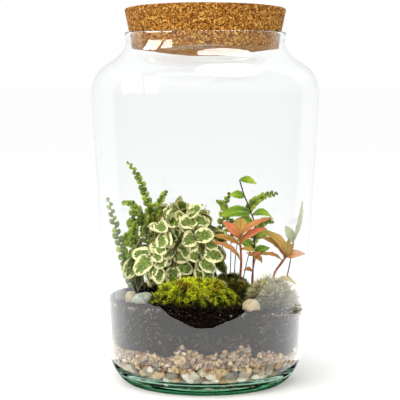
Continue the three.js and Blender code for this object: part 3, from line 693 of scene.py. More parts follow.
def lump(shape, template, centre, size, turn, tilt, mark, rng, knock):
    """One pebble or crumb: a squashed ball, knocked about by a few waves."""
    points, faces = template
    ways, phases = rng.uniform(-2.4, 2.4, (3, 3)), rng.uniform(0, 6.28, 3)
    swell = 1 + knock * np.sin(points @ ways.T + phases).sum(axis=1)
    made = points * swell[:, None] * np.asarray(size) / 2
    made = turned(turned(turned(made, tilt[1], "Y"), tilt[0], "X"), turn)
    shape.add(made + centre, faces, mark)


def any_colour(colours, rng):
    return np.array(srgb(*colours[rng.integers(len(colours))]))


def make_pebbles():
    rng = np.random.default_rng(29)
    shape = Shape()
    bed(shape, lambda x, y: 0 * x + JAR["base"] + LAYER_GAP, pebble_top, columns=144, rings=6, side_rows=8,
        back=7, rumple=1.5, mark=srgb(120, 100, 72))
    template = ball(3)
    for height, around, lean, tall, inward in PEBBLE_ROWS:
        for i in range(around):
            turn = 2 * math.pi * (i + rng.uniform(-0.4, 0.4)) / around
            depth = rng.uniform(7, 10)
            z = height + rng.uniform(-1.5, 1.5)
            size = (rng.uniform(8.5, 16), depth, tall * rng.uniform(0.8, 1.25))
            centre = round_axis(inside_radius(z) - depth * 0.53 - PEBBLE_GAP - inward, turn, z)
            tilt = (-math.radians(lean), rng.uniform(-0.5, 0.5))
            colour = any_colour(PEBBLE_COLOURS, rng)
            lump(shape, template, centre, size, turn - math.pi / 2, tilt, colour, rng, knock=0.05)
    paint = mineral("pebble", roughness=0.5, speck=380, relief=900, depth=0.3)
    shape.build("pebble_bed", [paint], "pebbles", "pebble_layer")


def make_granules():
    rng = np.random.default_rng(11)
    shape = Shape()
    bed(shape, lambda x, y: pebble_top(x, y) + LAYER_GAP, granule_edge, columns=240, rings=10, side_rows=8,
        back=4, rumple=1.5, mark=srgb(52, 36, 22))
    coarse, fine = ball(2), ball(1)
    for count in range(GRANULE_COUNT):
        clod = count % 3 == 0
        template, reach = (coarse, rng.uniform(3.2, 7)) if clod else (fine, rng.uniform(1.4, 3.4))
        turn = rng.uniform(0, 2 * math.pi)
        rim = rim_place(turn, granule_edge)
        low = on_surface(pebble_top, rim, turn, -4.5)[2]
        high = on_surface(granule_edge, rim, turn, 1.6 if clod else -0.3)[2]
        z = low + (high - low) * rng.uniform(0, 1)
        size = reach * np.array([1.05, 0.8, rng.uniform(0.8, 1.1)])
        centre = round_axis(inside_radius(z) - size[1] * 0.6 - rng.uniform(0.5, 2.6), turn, z)
        colour = any_colour(GRANULE_COLOURS, rng) * rng.uniform(0.36, 0.98)
        tilt = rng.uniform(-0.6, 0.6, 2)
        lump(shape, template, centre, size, turn - math.pi / 2, tilt, colour, rng, knock=0.16)
    paint = mineral("granule", roughness=0.85, speck=900, relief=1400, depth=0.5, darkest=0.6)
    shape.build("granule_bed", [paint], "granules", "granule_layer")


CLEAN_FRONT = -0.9  # where the sine of the turn is below this, at the front, the soil has little light grit


def add_light_grit(shape, rng, template):
    """Pale crumbs that show in the soil against the glass, most of them along its top."""
    for count in range(GRIT_COUNT):
        turn = rng.uniform(0, 2 * math.pi)
        if math.sin(turn) < CLEAN_FRONT and count % 14:
            continue
        high = on_surface(soil_top, rim_place(turn, soil_top), turn)[2]
        at_top = count % 2 == 0
        z = high - abs(rng.normal(0, 2.2)) if at_top else rng.uniform(FILL["granules"] + 8, high)
        size = rng.uniform(0.7, 2.5 if at_top else 1.5) * np.array([1.2, 0.8, 0.9])
        centre = round_axis(inside_radius(z) - 1.1 - size[1] * 0.4, turn, z)
        tilt = rng.uniform(-0.6, 0.6, 2)
        lump(shape, template, centre, size, turn - math.pi / 2, tilt, PALE_MARK, rng, knock=0.14)


def add_roots(shape, rng):
    """Thin pale roots in the soil against the glass."""
    turn = rng.uniform(0, 2 * math.pi, ROOT_COUNT)
    high = np.where(np.sin(turn) < CLEAN_FRONT, FILL["granules"] + 24, FILL["soil"] - 4)
    z = rng.uniform(FILL["granules"] + 6, high)
    root = round_axis(inside_radius(z) - 1.2, turn, z)
    around = np.column_stack([-np.sin(turn), np.cos(turn), 0 * turn])
    slant = rng.uniform(0, 2 * math.pi, ROOT_COUNT)[:, None]
    way = around * np.cos(slant) + vec(0, 0, 1) * np.sin(slant)
    sway = around * rng.normal(0, 0.8, (ROOT_COUNT, 1))
    thick, long = rng.uniform(0.2, 0.36, ROOT_COUNT), rng.uniform(1.5, 5, ROOT_COUNT)
    needles(shape, root, way, sway, thick, long, [np.tile(PALE_MARK, (ROOT_COUNT, 1))] * 3)


def add_crumbs(shape, rng, template):
    """Dark crumbs all over the soil's top, and larger ones along the glass."""
    for _ in range(CRUMB_COUNT):
        turn, out = rng.uniform(0, 2 * math.pi), math.sqrt(rng.uniform(0.05, 1))
        size = rng.uniform(1.2, 4.2) * np.array([1.2, 1, 0.8])
        centre = on_surface(soil_top, out * (rim_place(turn, soil_top) - 3), turn, size[2] * 0.1)
        lump(shape, template, centre, size, turn, rng.uniform(-0.5, 0.5, 2), SOIL_MARK, rng, knock=0.12)
    for _ in range(RIM_CRUMB_COUNT):
        turn = rng.uniform(0, 2 * math.pi)
        radius = rim_place(turn, soil_top) - rng.uniform(2.4, 9)
        size = rng.uniform(1.6, 6.4) * np.array([1.1, 1, 0.9])
        centre = on_surface(soil_top, radius, turn, rng.uniform(-0.6, 1.3))
        lump(shape, template, centre, size, turn, rng.uniform(-0.6, 0.6, 2), SOIL_MARK, rng, knock=0.14)


def add_fibres(shape, rng):
    """Short fibres that stand up from the outer part of the soil's top."""
    count = FIBRE_COUNT
    turn, out = rng.uniform(0, 2 * math.pi, count), np.sqrt(rng.uniform(0.5, 1, count))
    root = on_surface(soil_top, out * (rim_place(turn, soil_top) - 4), turn, -0.5)
    way = unit_rows(rng.normal(0, 0.8, (count, 3)) + vec(0, 0, 1))
    sway = rng.normal(0, 0.6, (count, 3))
    thick, long = rng.uniform(0.2, 0.35, count), rng.uniform(1.5, 4, count)
    needles(shape, root, way, sway, thick, long, [np.tile(SOIL_MARK, (count, 1))] * 3)


def make_soil():
    rng = np.random.default_rng(5)
    shape = Shape()
    bed(shape, lambda x, y: granule_edge(x, y) + LAYER_GAP, soil_top, columns=300, rings=34, side_rows=34,
        back=1.4, rumple=1.7)
    template = ball(1)
    add_crumbs(shape, rng, template)
    add_fibres(shape, rng)
    add_light_grit(shape, rng, template)
    add_roots(shape, rng)
    shape.build("soil_body", [soil_material()], "soil", "soil")


# Name, place, size, seed, turn and colour
STONES = [
    ("stone_left_grey", (-95, -28), (15, 14, 17), 3, 0.3, (122, 120, 112)),
    ("stone_left_tan", (-83, -48), (13, 12, 19), 5, 0.8, (190, 170, 128)),
    ("stone_left_pale", (-68, -60), (25, 17, 18), 8, 0.1, (176, 180, 160)),
    ("stone_flat_beige", (13, -19), (25, 17, 16), 13, -0.4, (172, 160, 122)),
    ("stone_right_beige", (50, -85), (22, 16, 20), 21, 0.5, (202, 180, 144)),
    ("stone_back_grey", (-12, 84), (24, 18, 15), 34, 0.2, (150, 146, 138)),
    ("stone_back_tan", (78, 58), (18, 15, 14), 55, 1.1, (190, 168, 124)),
]
STONE_SINK = 0.28


def make_stones():
    paint = mineral("garden_stone", roughness=0.7, speck=260, relief=420, depth=0.8, darkest=0.5)
    points, faces = ball(5)
    for name, (x, y), size, seed, turn, colour in STONES:
        draw = draws(seed)
        swell = np.ones(len(points))
        for _ in range(5):
            way = vec(draw(-2.6, 2.6), draw(-2.6, 2.6), draw(-2.6, 2.6))
            swell += 0.045 * np.sin(points @ way + draw(0, 6.28))
        rough, fine = bumps(points, 1.7, (seed, 0, 0)), bumps(points, 6, (seed, 5, 0))
        swell += 0.05 * rough - 0.07 * np.maximum(0, 0.25 - np.abs(rough)) + 0.022 * fine
        made = turned(points * swell[:, None] * np.array(size) / 2, turn)
        z = ground_top(x, y) + size[2] * (0.5 - STONE_SINK)
        shape = Shape()
        shape.add(made + vec(x, y, z), faces, srgb(*colour))
        shape.build(name + "_worn", [paint], "garden_stone", name)


# Moss. A mound's colours are those of its tips, of its sides and of its fringe.
MOUNDS = [
    {"name": "moss_front", "at": (-8, -60), "reach": (53, 31), "height": 22, "seed": 2, "strands": 15500,
     "tuft": 62, "spread": 1.9, "thick": 0.72, "long": (3, 8), "shorter": 0.5,
     "colours": ((216, 222, 36), (46, 60, 4), (24, 14, 6))},
    {"name": "moss_back", "at": (31, -6), "reach": (27, 26), "height": 15, "seed": 4, "strands": 7500,
     "tuft": 80, "spread": 2.1, "thick": 0.5, "long": (3, 9),
     "colours": ((138, 142, 40), (48, 46, 16), (30, 20, 12))},
    {"name": "moss_right", "at": (76, -36), "reach": (25, 30), "height": 23, "seed": 6, "strands": 9000,
     "tuft": 45, "spread": 2.8, "thick": 0.5, "long": (5, 13),
     "colours": ((200, 194, 138), (88, 84, 50), (40, 32, 20))},
    {"name": "moss_rear", "at": (-44, 74), "reach": (28, 18), "height": 12, "seed": 9, "strands": 4500,
     "tuft": 90, "spread": 1.9, "thick": 0.6, "long": (3, 8),
     "colours": ((176, 178, 48), (58, 64, 14), (30, 24, 10))},
]
MOSS_RIM, MOSS_LIFT = 1.2, 0.45
GOLDEN_TURN = math.pi * (3 - math.sqrt(5))  # from one tuft to the next, which spreads them evenly
SKIRT_COUNT = 900
MOSS_EDGE = 0.99  # the share of a mound's reach beyond which no strand stands
MOSS_DEPTH = {"body": 1.2, "root": 1.4}  # how far these lie below a mound's top
RUSTY_SHARE, DARK_SHARE = 0.09, 0.1  # of the tufts


def mound_share(mound, x, y):
    """How far out a place lies on a mound: 0 in its middle and 1 at its foot."""
    (cx, cy), (rx, ry) = mound["at"], mound["reach"]
    return np.hypot((x - cx) / rx, (y - cy) / ry)


def mound_place(mound, out, turn):
    (cx, cy), (rx, ry) = mound["at"], mound["reach"]
    return cx + rx * out * np.cos(turn), cy + ry * out * np.sin(turn)


def mound_top(mound, x, y):
    out, seed = np.minimum(1, mound_share(mound, x, y)), mound["seed"]
    large = 0.16 * np.sin(x * 0.21 + seed) * np.cos(y * 0.24 + seed * 2)
    dome = (1 - out**2.4) * (1 + large + 0.1 * np.sin(x * 0.13 - y * 0.3 + seed))
    return soil_top(x, y) + MOSS_LIFT + MOSS_RIM + mound["height"] * np.maximum(0, dome)


def ground_top(x, y):
    """The top of the soil, or of a mound of moss on it."""
    mounds = [mound_top(mound, x, y) for mound in MOUNDS if mound_share(mound, x, y) < 1]
    return max([soil_top(x, y), *mounds])


def needles(shape, root, way, sway, thick, long, marks):
    """Bent three-sided needles, pointed at both ends. root, way and sway are rows of vectors.

    marks are those of root, middle and tip.
    """
    side = unit_rows(np.cross(way, vec(0.31, 0.17, 0.93)))
    back = np.cross(way, side)
    middle = root + way * long[:, None] * 0.5 + sway * 0.3
    turns = (0, 2.094, 4.189)
    corners = [middle + (side * math.cos(t) + back * math.sin(t)) * thick[:, None] for t in turns]
    points = np.stack([root, *corners, root + way * long[:, None] + sway], axis=1)
    cells = np.stack([marks[0], *[marks[1]] * 3, marks[2]], axis=1)
    pattern = [(0, 2, 1), (0, 3, 2), (0, 1, 3), (1, 2, 4), (2, 3, 4), (3, 1, 4)]
    faces = [[5 * i + j for j in face] for i in range(len(root)) for face in pattern]
    shape.add(points.reshape(-1, 3), faces, cells.reshape(-1, 3))


def add_skirt(shape, mound, rng):
    """Dry dark strands that lie on the soil round the foot of a mound."""
    count = SKIRT_COUNT
    turn, out = rng.uniform(0, 2 * math.pi, count), rng.uniform(0.86, 1.0, count)
    x, y = mound_place(mound, out, turn)
    root = np.column_stack([x, y, soil_top(x, y) + 1.5])
    outward = np.column_stack([np.cos(turn), np.sin(turn), rng.uniform(-0.1, 0.3, count)])
    way = unit_rows(outward + rng.normal(0, 0.35, (count, 3)))
    tint = np.where(rng.random(count)[:, None] < 0.15, srgb(150, 112, 40), srgb(44, 30, 12))
    sway = rng.normal(0, 0.8, (count, 3)) - vec(0, 0, 1.5)
    thick, long = rng.uniform(0.35, 0.6, count), rng.uniform(4, 12, count)
    # The strands darken towards their roots at the mound's foot: painted shade.
    needles(shape, root, way, sway, thick, long, (tint * 0.3, tint * 0.8, tint))


def add_mound(shape, mound, mark):
    """The body that the strands of a mound stand on."""
    rings, columns = 18, 60
    turns = full_turn(columns)
    shares = np.linspace(0.04, 1, rings)
    rows = []
    for share in shares:
        x, y = mound_place(mound, share, turns)
        rows.append(np.column_stack([x, y, soil_top(x, y) + MOSS_LIFT]))
    for share in shares[::-1]:
        x, y = mound_place(mound, share, turns)
        z = np.maximum(mound_top(mound, x, y) - MOSS_DEPTH["body"], soil_top(x, y) + MOSS_LIFT)
        rows.append(np.column_stack([x, y, z]))
    shape.add(np.concatenate(rows), capped_faces(len(rows), columns), mark)


def make_moss(mound, paint):
    """A mound covered by tufts of strands, which are spread evenly, and by strands between them."""
    rng = np.random.default_rng(mound["seed"])
    (cx, cy), (rx, ry) = mound["at"], mound["reach"]
    tips, sides, fringe = (np.array(srgb(*c)) for c in mound["colours"])
    shape = Shape()
    # The body is darker than the mound's sides: painted shade down among the strands.
    add_mound(shape, mound, sides * 0.6)

    # Where the strands stand: own is a strand's tuft, spread how far it is from the tuft's middle
    count = mound["strands"]
    tufts = count // mound["tuft"]
    place = np.arange(tufts)
    turn = place * GOLDEN_TURN + rng.normal(0, 0.08, tufts)
    out = ((place + rng.uniform(0, 1, tufts)) / tufts) ** 0.44
    own = rng.integers(tufts, size=count)
    spread = np.abs(rng.normal(0, mound["spread"], count))
    spread[::4] *= 4  # strands that fill the gaps between the tufts
    around = rng.uniform(0, 2 * math.pi, count)
    x, y = mound_place(mound, out[own], turn[own])
    x, y = x + spread * np.cos(around), y + spread * np.sin(around)
    away = mound_share(mound, x, y)
    inward = np.where(away > MOSS_EDGE, MOSS_EDGE / np.maximum(away, 0.01), 1)
    x, y = cx + (x - cx) * inward, cy + (y - cy) * inward
    out = np.minimum(away, MOSS_EDGE)
    root = np.column_stack([x, y, mound_top(mound, x, y) - MOSS_DEPTH["root"]])

    # How they stand: out of the mound, and away from the tuft's middle
    slope_x, slope_y = slopes(partial(mound_top, mound), x, y, step=1.5)
    way = unit_rows(np.column_stack([-slope_x, -slope_y, np.full(count, 0.9)]))
    way = way + round_axis(0.3 * np.minimum(spread, 2 * mound["spread"]), around, 0)
    way = unit_rows(way + rng.normal(0, 0.36, (count, 3)))
    tuft_size, tuft_tone = rng.normal(0, 0.3, tufts), rng.normal(0, 0.4, tufts)
    from_middle = np.minimum(spread / mound["spread"], 1.5)
    long = rng.uniform(*mound["long"], count) * (1 + tuft_size[own])
    long *= (1.15 - 0.2 * from_middle**2).clip(0.25) * (1 - 0.3 * out**4)
    long *= 1 - mound.get("shorter", 0) * np.clip(0.2 + (x - cx) / rx, 0, 1)
    sway = rng.normal(0, 0.9, (count, 3)) - vec(0, 0, 1) * (0.18 * long)[:, None]

    # Their colours: bright at the top of the mound and of a tuft, brown at the mound's foot. The darker
    # colour away from a tuft's middle, towards the gaps between tufts, is painted shade.
    height = np.clip((root[:, 2] - soil_top(x, y)) / mound["height"], 0, 1)
    share = 0.2 + height * 1.1 + tuft_tone[own] - 0.3 * from_middle + rng.normal(0, 0.12, count)
    share = np.clip(share, 0, 1)[:, None]
    lower = np.clip((height + 0.02 + 0.3 * tuft_tone[own]) * 5, 0, 1)[:, None]
    tip = (sides * (1 - share) + tips * share) * lower + fringe * (1 - lower)
    # Painted shade: strands further from their tuft's middle are darker, so the gaps between tufts look
    # shaded.
    tip *= ((1.3 - 0.56 * from_middle).clip(0.2) * rng.uniform(0.6, 1.4, count))[:, None]
    tip[rng.random(tufts)[own] < RUSTY_SHARE] *= vec(0.72, 0.4, 0.4)
    tip[rng.random(tufts)[own] < DARK_SHARE] *= 0.2
    thick = mound["thick"] * rng.uniform(0.65, 1.25, count)
    # The strands run from near-black roots to bright tips: painted shade down among the strands.
    needles(shape, root, way, sway, thick, long, (tip * 0.05, tip * 0.55, tip * 1.4))
    add_skirt(shape, mound, rng)
    shape.build(mound["name"] + "_strands", [paint], "moss", mound["name"])


# Leaves and stems
FORMS = {"round": (0.78, 0.7), "lance": (0.8, 0.95), "strap": (0.9, 0.7), "spoon": (1.7, 0.85)}
LEAF_THICK = 0.45


def blade_faces(rows, columns):
    """Faces of a closed blade, whose points are an upper sheet, a lower sheet, the root and the tip."""
    wide = columns + 1
    size = (rows - 1) * wide
    faces = [face[::-1] for face in grid_faces(rows - 1, wide)] + grid_faces(rows - 1, wide, start=size)
    for edge, order in ((0, 1), (columns, -1)):
        for row in range(rows - 2):
            a, b = row * wide + edge, (row + 1) * wide + edge
            faces.append((a, b, size + b, size + a)[::order])
    root, tip, last = 2 * size, 2 * size + 1, (rows - 2) * wide
    for c in range(columns):
        faces += [(root, c + 1, c), (root, size + c, size + c + 1)]
        faces += [(tip, last + c, last + c + 1), (tip, size + last + c + 1, size + last + c)]
    for corner, row, order in ((root, 0, 1), (tip, last, -1)):
        faces.append((corner, row, size + row)[::order])
        faces.append((corner, size + row + columns, row + columns)[::order])
    return faces


def leaf(shape, root, tip, face, width, rise, cup=0.15, wave=0.0, form="lance", number=0.5,
         rows=14, columns=8, ripple=0.0, teeth=0, fold=0.0):
    """One leaf as a thin closed blade, which faces the way face.

    rise is how far its rib bends up, cup how far its edges do, and fold how far it is folded along its rib.
    wave swings its edges, ripple frills them and teeth notches them.
    """
    root, tip = np.asarray(root, float), np.asarray(tip, float)
    chord = tip - root
    heading = unit(chord)
    left = unit(np.cross(face, heading))
    up = np.cross(heading, left)
    power, plump = FORMS[form]
    # s runs from 0 at the root to 1 at the tip, v from -1 at the left edge to 1 at the right one
    s = np.linspace(0, 1, rows + 1)[1:-1, None]
    v = np.linspace(-1, 1, columns + 1)[None, :]
    half = (width / 2) * np.sin(math.pi * s**power) ** plump
    if teeth:
        half = half * (1 - 0.1 * ((s * teeth) % 1.0))
    swing = wave * np.cos(2 * math.pi * (s - 0.24) / 0.6) * v * np.abs(v) ** 0.6
    frill = ripple * np.sin(2 * math.pi * (4.5 * s + number * 7) + 2 * np.sign(v)) * np.abs(v) ** 2.2
    lift = cup * half * v**2 + swing + frill + fold * half * np.abs(v)
    rib = root + chord * s[..., None] + up * (4 * rise * s * (1 - s))[..., None]
    middle = rib + left * (-half * v)[..., None] + up * lift[..., None]
    thick = LEAF_THICK / 2 * (1 - 0.75 * np.abs(v) ** 2) * (1 - 0.3 * s)
    ridge = 0.35 * np.exp(-((v / 0.09) ** 2)) * (1 - s)
    over, under = middle + up * thick[..., None], middle - up * (thick + ridge)[..., None]
    points = np.concatenate([over.reshape(-1, 3), under.reshape(-1, 3), [root], [tip]])
    sheet_marks = np.stack(np.broadcast_arrays(s, v * 0.5 + 0.5, number), axis=-1).reshape(-1, 3)
    marks = np.concatenate([sheet_marks, sheet_marks, [(0, 0.5, number), (1, 0.5, number)]])
    shape.add(points, blade_faces(rows, columns), marks)


def tube(shape, points, radius, sides, kind=0):
    """A closed tube along points, marked as the rib of a leaf. radius is one number or one for each."""
    points = np.asarray(points, float)
    radii = np.broadcast_to(radius, len(points))
    turns = full_turn(sides)[:, None]
    headings = np.gradient(points, axis=0)
    side = unit(np.cross(headings[0], vec(0.3, 1, 0.2)))
    rings = []
    for point, heading, r in zip(points, headings, radii):
        heading = unit(heading)
        side = unit(side - heading * (side @ heading))
        back = np.cross(heading, side)
        rings.append(point + r * (side * np.cos(turns) + back * np.sin(turns)))
    shape.add(np.concatenate(rings), capped_faces(len(rings), sides), (0, 0.5, 0.5), kind)


def along_stem(points, steps):
    """A function that finds the place at a share of a stem, on the straight steps of its solid."""
    joints = spaced(points, steps)

    def along(share):
        i = min(int(share * steps), steps - 1)
        return joints[i] + (joints[i + 1] - joints[i]) * (share * steps - i)

    return along


HOLE_DEPTH = 9
GAP = 0.3


def foot_of(x, y):
    return vec(x, y, soil_top(x, y) - HOLE_DEPTH + GAP)


# Fern
FRONDS = [
    ((-62, 38), ((-64, 34, 150), (-56, 30, 215), (-91, 28, 251)), 15, 0.34),
    ((-56, 42), ((-60, 40, 150), (-66, 36, 200), (-45, 33, 216)), 11, 0.4),
    ((-68, 43), ((-68, 42, 160), (-70, 38, 208), (-98, 34, 203)), 16, 0.18),
    ((-82, 34), ((-90, 20, 120), (-102, 8, 165), (-112, 2, 211)), 14, 0.12),
    ((-72, 30), ((-72, 27, 150), (-90, 23, 186), (-97, 19, 142)), 13, 0.2),
    ((-76, 38), ((-86, 33, 130), (-90, 30, 175), (-84, 28, 205)), 13, 0.14),
    ((-50, 47), ((-50, 46, 150), (-46, 43, 190), (-29, 41, 207)), 9, 0.4),
    ((-44, 43), ((-38, 44, 140), (-32, 43, 182), (-12, 41, 196)), 9, 0.35),
    ((-58, 52), ((-60, 58, 150), (-60, 66, 196), (-46, 84, 190)), 10, 0.3),
    ((-70, 52), ((-80, 56, 140), (-88, 60, 176), (-84, 70, 164)), 9, 0.3),
    ((34, 44), ((34, 43, 150), (40, 41, 216), (85, 39, 213)), 14, 0.38),
    ((29, 47), ((30, 46, 150), (36, 44, 198), (14, 42, 205)), 9, 0.4),
    ((24, 52), ((20, 53, 150), (16, 51, 192), (29, 49, 213)), 8, 0.4),
    ((42, 56), ((50, 62, 140), (64, 68, 190), (82, 70, 176)), 10, 0.34),
]
LEAFLET_REACH = 6.9
FROND_REACH = {4: 8.4}  # a frond with larger leaflets
# Side branches of the fronds in the left corner: their root's share of the frond, and their tip
SPRIGS = {
    1: [(0.5, (-64, 12, 204)), (0.45, (-52, 12, 199)), (0.4, (-64, 14, 189))],
    3: [(0.6, (-89, 20, 193)), (0.55, (-78, 18, 193)), (0.5, (-92, 20, 181)), (0.4, (-68, 14, 178))],
    5: [(0.5, (-86, 12, 153)), (0.4, (-90, 10, 139)), (0.75, (-98, 14, 156))],
    6: [(0.55, (-80, 16, 181)), (0.5, (-95, 18, 168)), (0.45, (-84, 16, 166)), (0.3, (-99, 14, 141))],
}
SPRIG_REACH, SPRIG_PITCH, SPRIG_RADIUS = 6.3, 5.4, 0.3
FROND_RADII = (0.7, 0.25)  # of a frond's rib, at its foot and at its tip
CURL_RADIUS = 1.25  # of the rolled tip
FROND_FACE = vec(0.1, -1, 0.35)
# Size and height of a leaflet's rings: the rim and the ring within it, each above and below
LEAFLET_RINGS = [(1, -0.04), (1, -0.54), (0.55, 0.58), (0.55, 0.08)]
LEAFLET_SIDES, LEAFLET_MIDDLES = 12, (0.75, 0.3)


def leaflet_faces():
    count = LEAFLET_SIDES
    rim, rim_low, ring, ring_low, top = (count * i for i in range(5))
    faces = []
    for i in range(count):
        j = (i + 1) % count
        faces += [(rim + i, rim + j, ring + j, ring + i), (ring + i, ring + j, top)]
        faces.append((rim_low + j, rim_low + i, ring_low + i, ring_low + j))
        faces.append((ring_low + j, ring_low + i, top + 1))
        faces.append((rim + j, rim + i, rim_low + i, rim_low + j))
    return faces


LEAFLET_FACES = leaflet_faces()


def leaflet(shape, neck, out, ahead, up, reach, span, number):
    """A small round leaf on a fern's rib: neck is where it grows, out and ahead its directions."""
    turns = full_turn(LEAFLET_SIDES)
    points, marks = [], []
    for size, height in LEAFLET_RINGS:
        across, forward = 0.5 * reach * (1 + size * np.cos(turns)), 0.5 * span * size * np.sin(turns)
        points.append(neck + np.outer(across, out) + np.outer(forward, ahead) + up * height)
        marks.append(np.column_stack([across / reach, 0.5 + forward / span, np.full(LEAFLET_SIDES, number)]))
    points.append([neck + out * reach * 0.5 + up * height for height in LEAFLET_MIDDLES])
    marks.append([(0.5, 0.5, number)] * 2)
    shape.add(np.concatenate(points), LEAFLET_FACES, np.concatenate(marks))


def add_leaflets(shape, points, pairs, bare, full, rng):
    """Pairs of leaflets along a curve, from its share called bare on.

    full is how far the largest ones reach.
    """
    for i in range(pairs):
        share = bare + (1 - bare) * (i + 0.5) / pairs
        place = bezier(points, share)
        heading = unit(bezier(points, share + 0.01) - place)
        left = unit(np.cross(FROND_FACE, heading))
        up = np.cross(heading, left)
        grown = (share - bare) / (1 - bare)
        reach = full * min(1, 0.7 + 2 * grown) * (1 - 0.5 * grown**3)
        before, after = bezier(points, bare + (1 - bare) * np.array([i, i + 1]) / pairs)
        pitch = np.linalg.norm(after - before)
        inward = 0.6 * reach * (0.02 + 0.24 * grown)
        for side in (1, -1):
            tilt = up * rng.uniform(-0.45, 0.3)
            out = unit(left * side + heading * rng.uniform(-0.15, 0.45) + tilt)
            face = unit(np.cross(heading, out) * side)
            size = reach * rng.uniform(0.85, 1.12)
            neck = place + side * (heading * 0.25 * pitch + FROND_FACE * 0.6) - out * inward
            leaflet(shape, neck, out, heading, face, size, 1.08 * size, rng.uniform(0, 1))


def make_frond(index, foot, bend, pairs, bare, paints):
    rng = np.random.default_rng(300 + index)
    points = [foot_of(*foot), *bend]
    shape = Shape()
    path = bezier(points, np.linspace(0, 1, 60))
    tube(shape, path, np.linspace(*FROND_RADII, len(path)), sides=6, kind=1)
    add_leaflets(shape, points, pairs, bare, FROND_REACH.get(index, LEAFLET_REACH), rng)
    for share, tip in SPRIGS.get(index, ()):
        start = bezier(points, share)
        way = tip - start
        long = np.linalg.norm(way)
        over = vec(0, 0, 0.2 * long)
        branch = [start, start + way * 0.3 + over, start + way * 0.7 + over, tip]
        tube(shape, bezier(branch, np.linspace(0, 1, 12)), SPRIG_RADIUS, sides=5, kind=1)
        add_leaflets(shape, branch, round(long / SPRIG_PITCH), 0.1, SPRIG_REACH, rng)
    curl, faces = ball(2)
    shape.add(curl * CURL_RADIUS + path[-1], faces, (0, 0.5, 0), 2)
    shape.build(f"fern_leaflets_{index:02d}", paints, "fern_leaf", f"fern_frond_{index:02d}")


# The ways that leaves face
FRONT = (0, -0.8, 0.6)
UP = (0, -0.65, 0.85)
TILTED = (0, -0.75, 0.7)

# Creeping fig
FIG_MIDDLE = vec(-34, -8, 145)
FIG_REACH = vec(47, 38, 56)
FIG_WAIST = 137  # the height up to which its stems rise straight
FIG_OVER_MOSS = 13
FIG_DENSER = 2.7  # leaves here for each leaf of the solids
FIG_DROOP = 0.15
FERN_CORNER = (-66, 152)  # further left and higher than this, the fern shows and the fig has no leaves
FIG_LENGTH, FIG_WIDTH = 27, 19.5
FIG_RADII = (0.9, 0.55)  # of a stem, at its foot and at its tip
FIG_FORM = {"wave": 0.9, "form": "round", "columns": 10, "ripple": 0.5}
FIG_KINDS = {
    "top": {"crown": 0, "scale": 0.93, "from": 3, "to": 16, "leaves": 5, "first": 0.87, "lift": 0.45},
    "outer": {"crown": 7, "scale": 1, "from": 30, "to": 110, "leaves": 8, "first": 0.47, "lift": 0.3},
    "inner": {"crown": 7, "scale": 0.76, "from": 50, "to": 118, "leaves": 6, "first": 0.52, "lift": 0.1},
}
# One more leaf each: its root's share of the stem, and its tip
FIG_PLACED = {5: (0.92, (-92, -14, 119)), 7: (0.92, (-80, -36, 127))}
FIG_STEMS = [{"turn": 0.4, **FIG_KINDS["top"]}]
for i in range(5):
    FIG_STEMS.append({"turn": 2 * math.pi * i / 5 + 0.35, **FIG_KINDS["outer"]})
    FIG_STEMS.append({"turn": 2 * math.pi * i / 5 + 0.98, **FIG_KINDS["inner"]})


def dome_point(turn, fall, scale):
    out = scale * math.sin(fall)
    return FIG_MIDDLE + FIG_REACH * vec(out * math.cos(turn), out * math.sin(turn), scale * math.cos(fall))


def make_fig(stem, index, paints):
    turn, scale, lift, first = stem["turn"], stem["scale"], stem["lift"], stem["first"]
    short = FIG_OVER_MOSS * max(0, -math.sin(turn))
    start, end = math.radians(stem["from"]), math.radians(stem["to"] - short)
    x, y = FIG_MIDDLE[:2] + stem["crown"] * vec(math.cos(turn), math.sin(turn))
    over = [dome_point(turn, start + (end - start) * share, scale) for share in (0, 0.33, 0.67, 1)]
    points = [foot_of(x, y), vec(x, y, FIG_WAIST), *over]
    along = along_stem(points, 10)
    shape = Shape()
    tube(shape, spaced(points, 40), np.linspace(*FIG_RADII, 41), sides=7, kind=1)
    draw = draws(101 + index)
    rng = np.random.default_rng(700 + index)
    leaves = round(stem["leaves"] * FIG_DENSER)
    for i in range(leaves):
        share = first + (1 - first) * (i + rng.uniform(0.2, 1)) / leaves
        root = along(share)
        out = unit((root - FIG_MIDDLE) / FIG_REACH**2)
        down = unit(along(min(share + 0.02, 1)) - along(share - 0.02))
        side = np.cross(out, down) * (1 if i % 2 else -1)
        spread = turn + 2.4 * i if index == 0 else rng.uniform(-0.25, 0.85)
        if index and i >= leaves - 2:
            spread = rng.uniform(1.0, 1.6)
        heading = side * math.cos(spread) + down * math.sin(spread) + out * lift * rng.uniform(0.4, 1.5)
        size = draw(0.72, 1.1) * (0.78 + 0.22 * math.hypot(out[0], out[1]))
        rise, cup = draw(0.6, 2.8), draw(-0.25, 0.2)
        root = root + side * rng.uniform(-6, 7) + out * rng.uniform(-4, 1)
        face = out * vec(1, 1, 0.55) + vec(0, 0, 0.4) + 0.3 * unit(vec(*out[:2], 0.1))
        face = unit(face + rng.normal(0, 0.2, 3))
        tip = root + unit(heading - vec(0, 0, FIG_DROOP)) * FIG_LENGTH * size
        if tip[0] < FERN_CORNER[0] and tip[2] > FERN_CORNER[1]:
            continue
        number = rng.uniform(0, 1)
        leaf(shape, root, tip, face, FIG_WIDTH * size, rise, cup, number=number, **FIG_FORM)
    if index in FIG_PLACED:
        share, tip = FIG_PLACED[index]
        leaf(shape, along(share), tip, FRONT, FIG_WIDTH * 1.1, 2, 0.1, number=0.3, **FIG_FORM)
    shape.build(f"fig_leaves_{index + 1:02d}", paints, "fig_leaf", f"fig_stem_{index + 1:02d}")
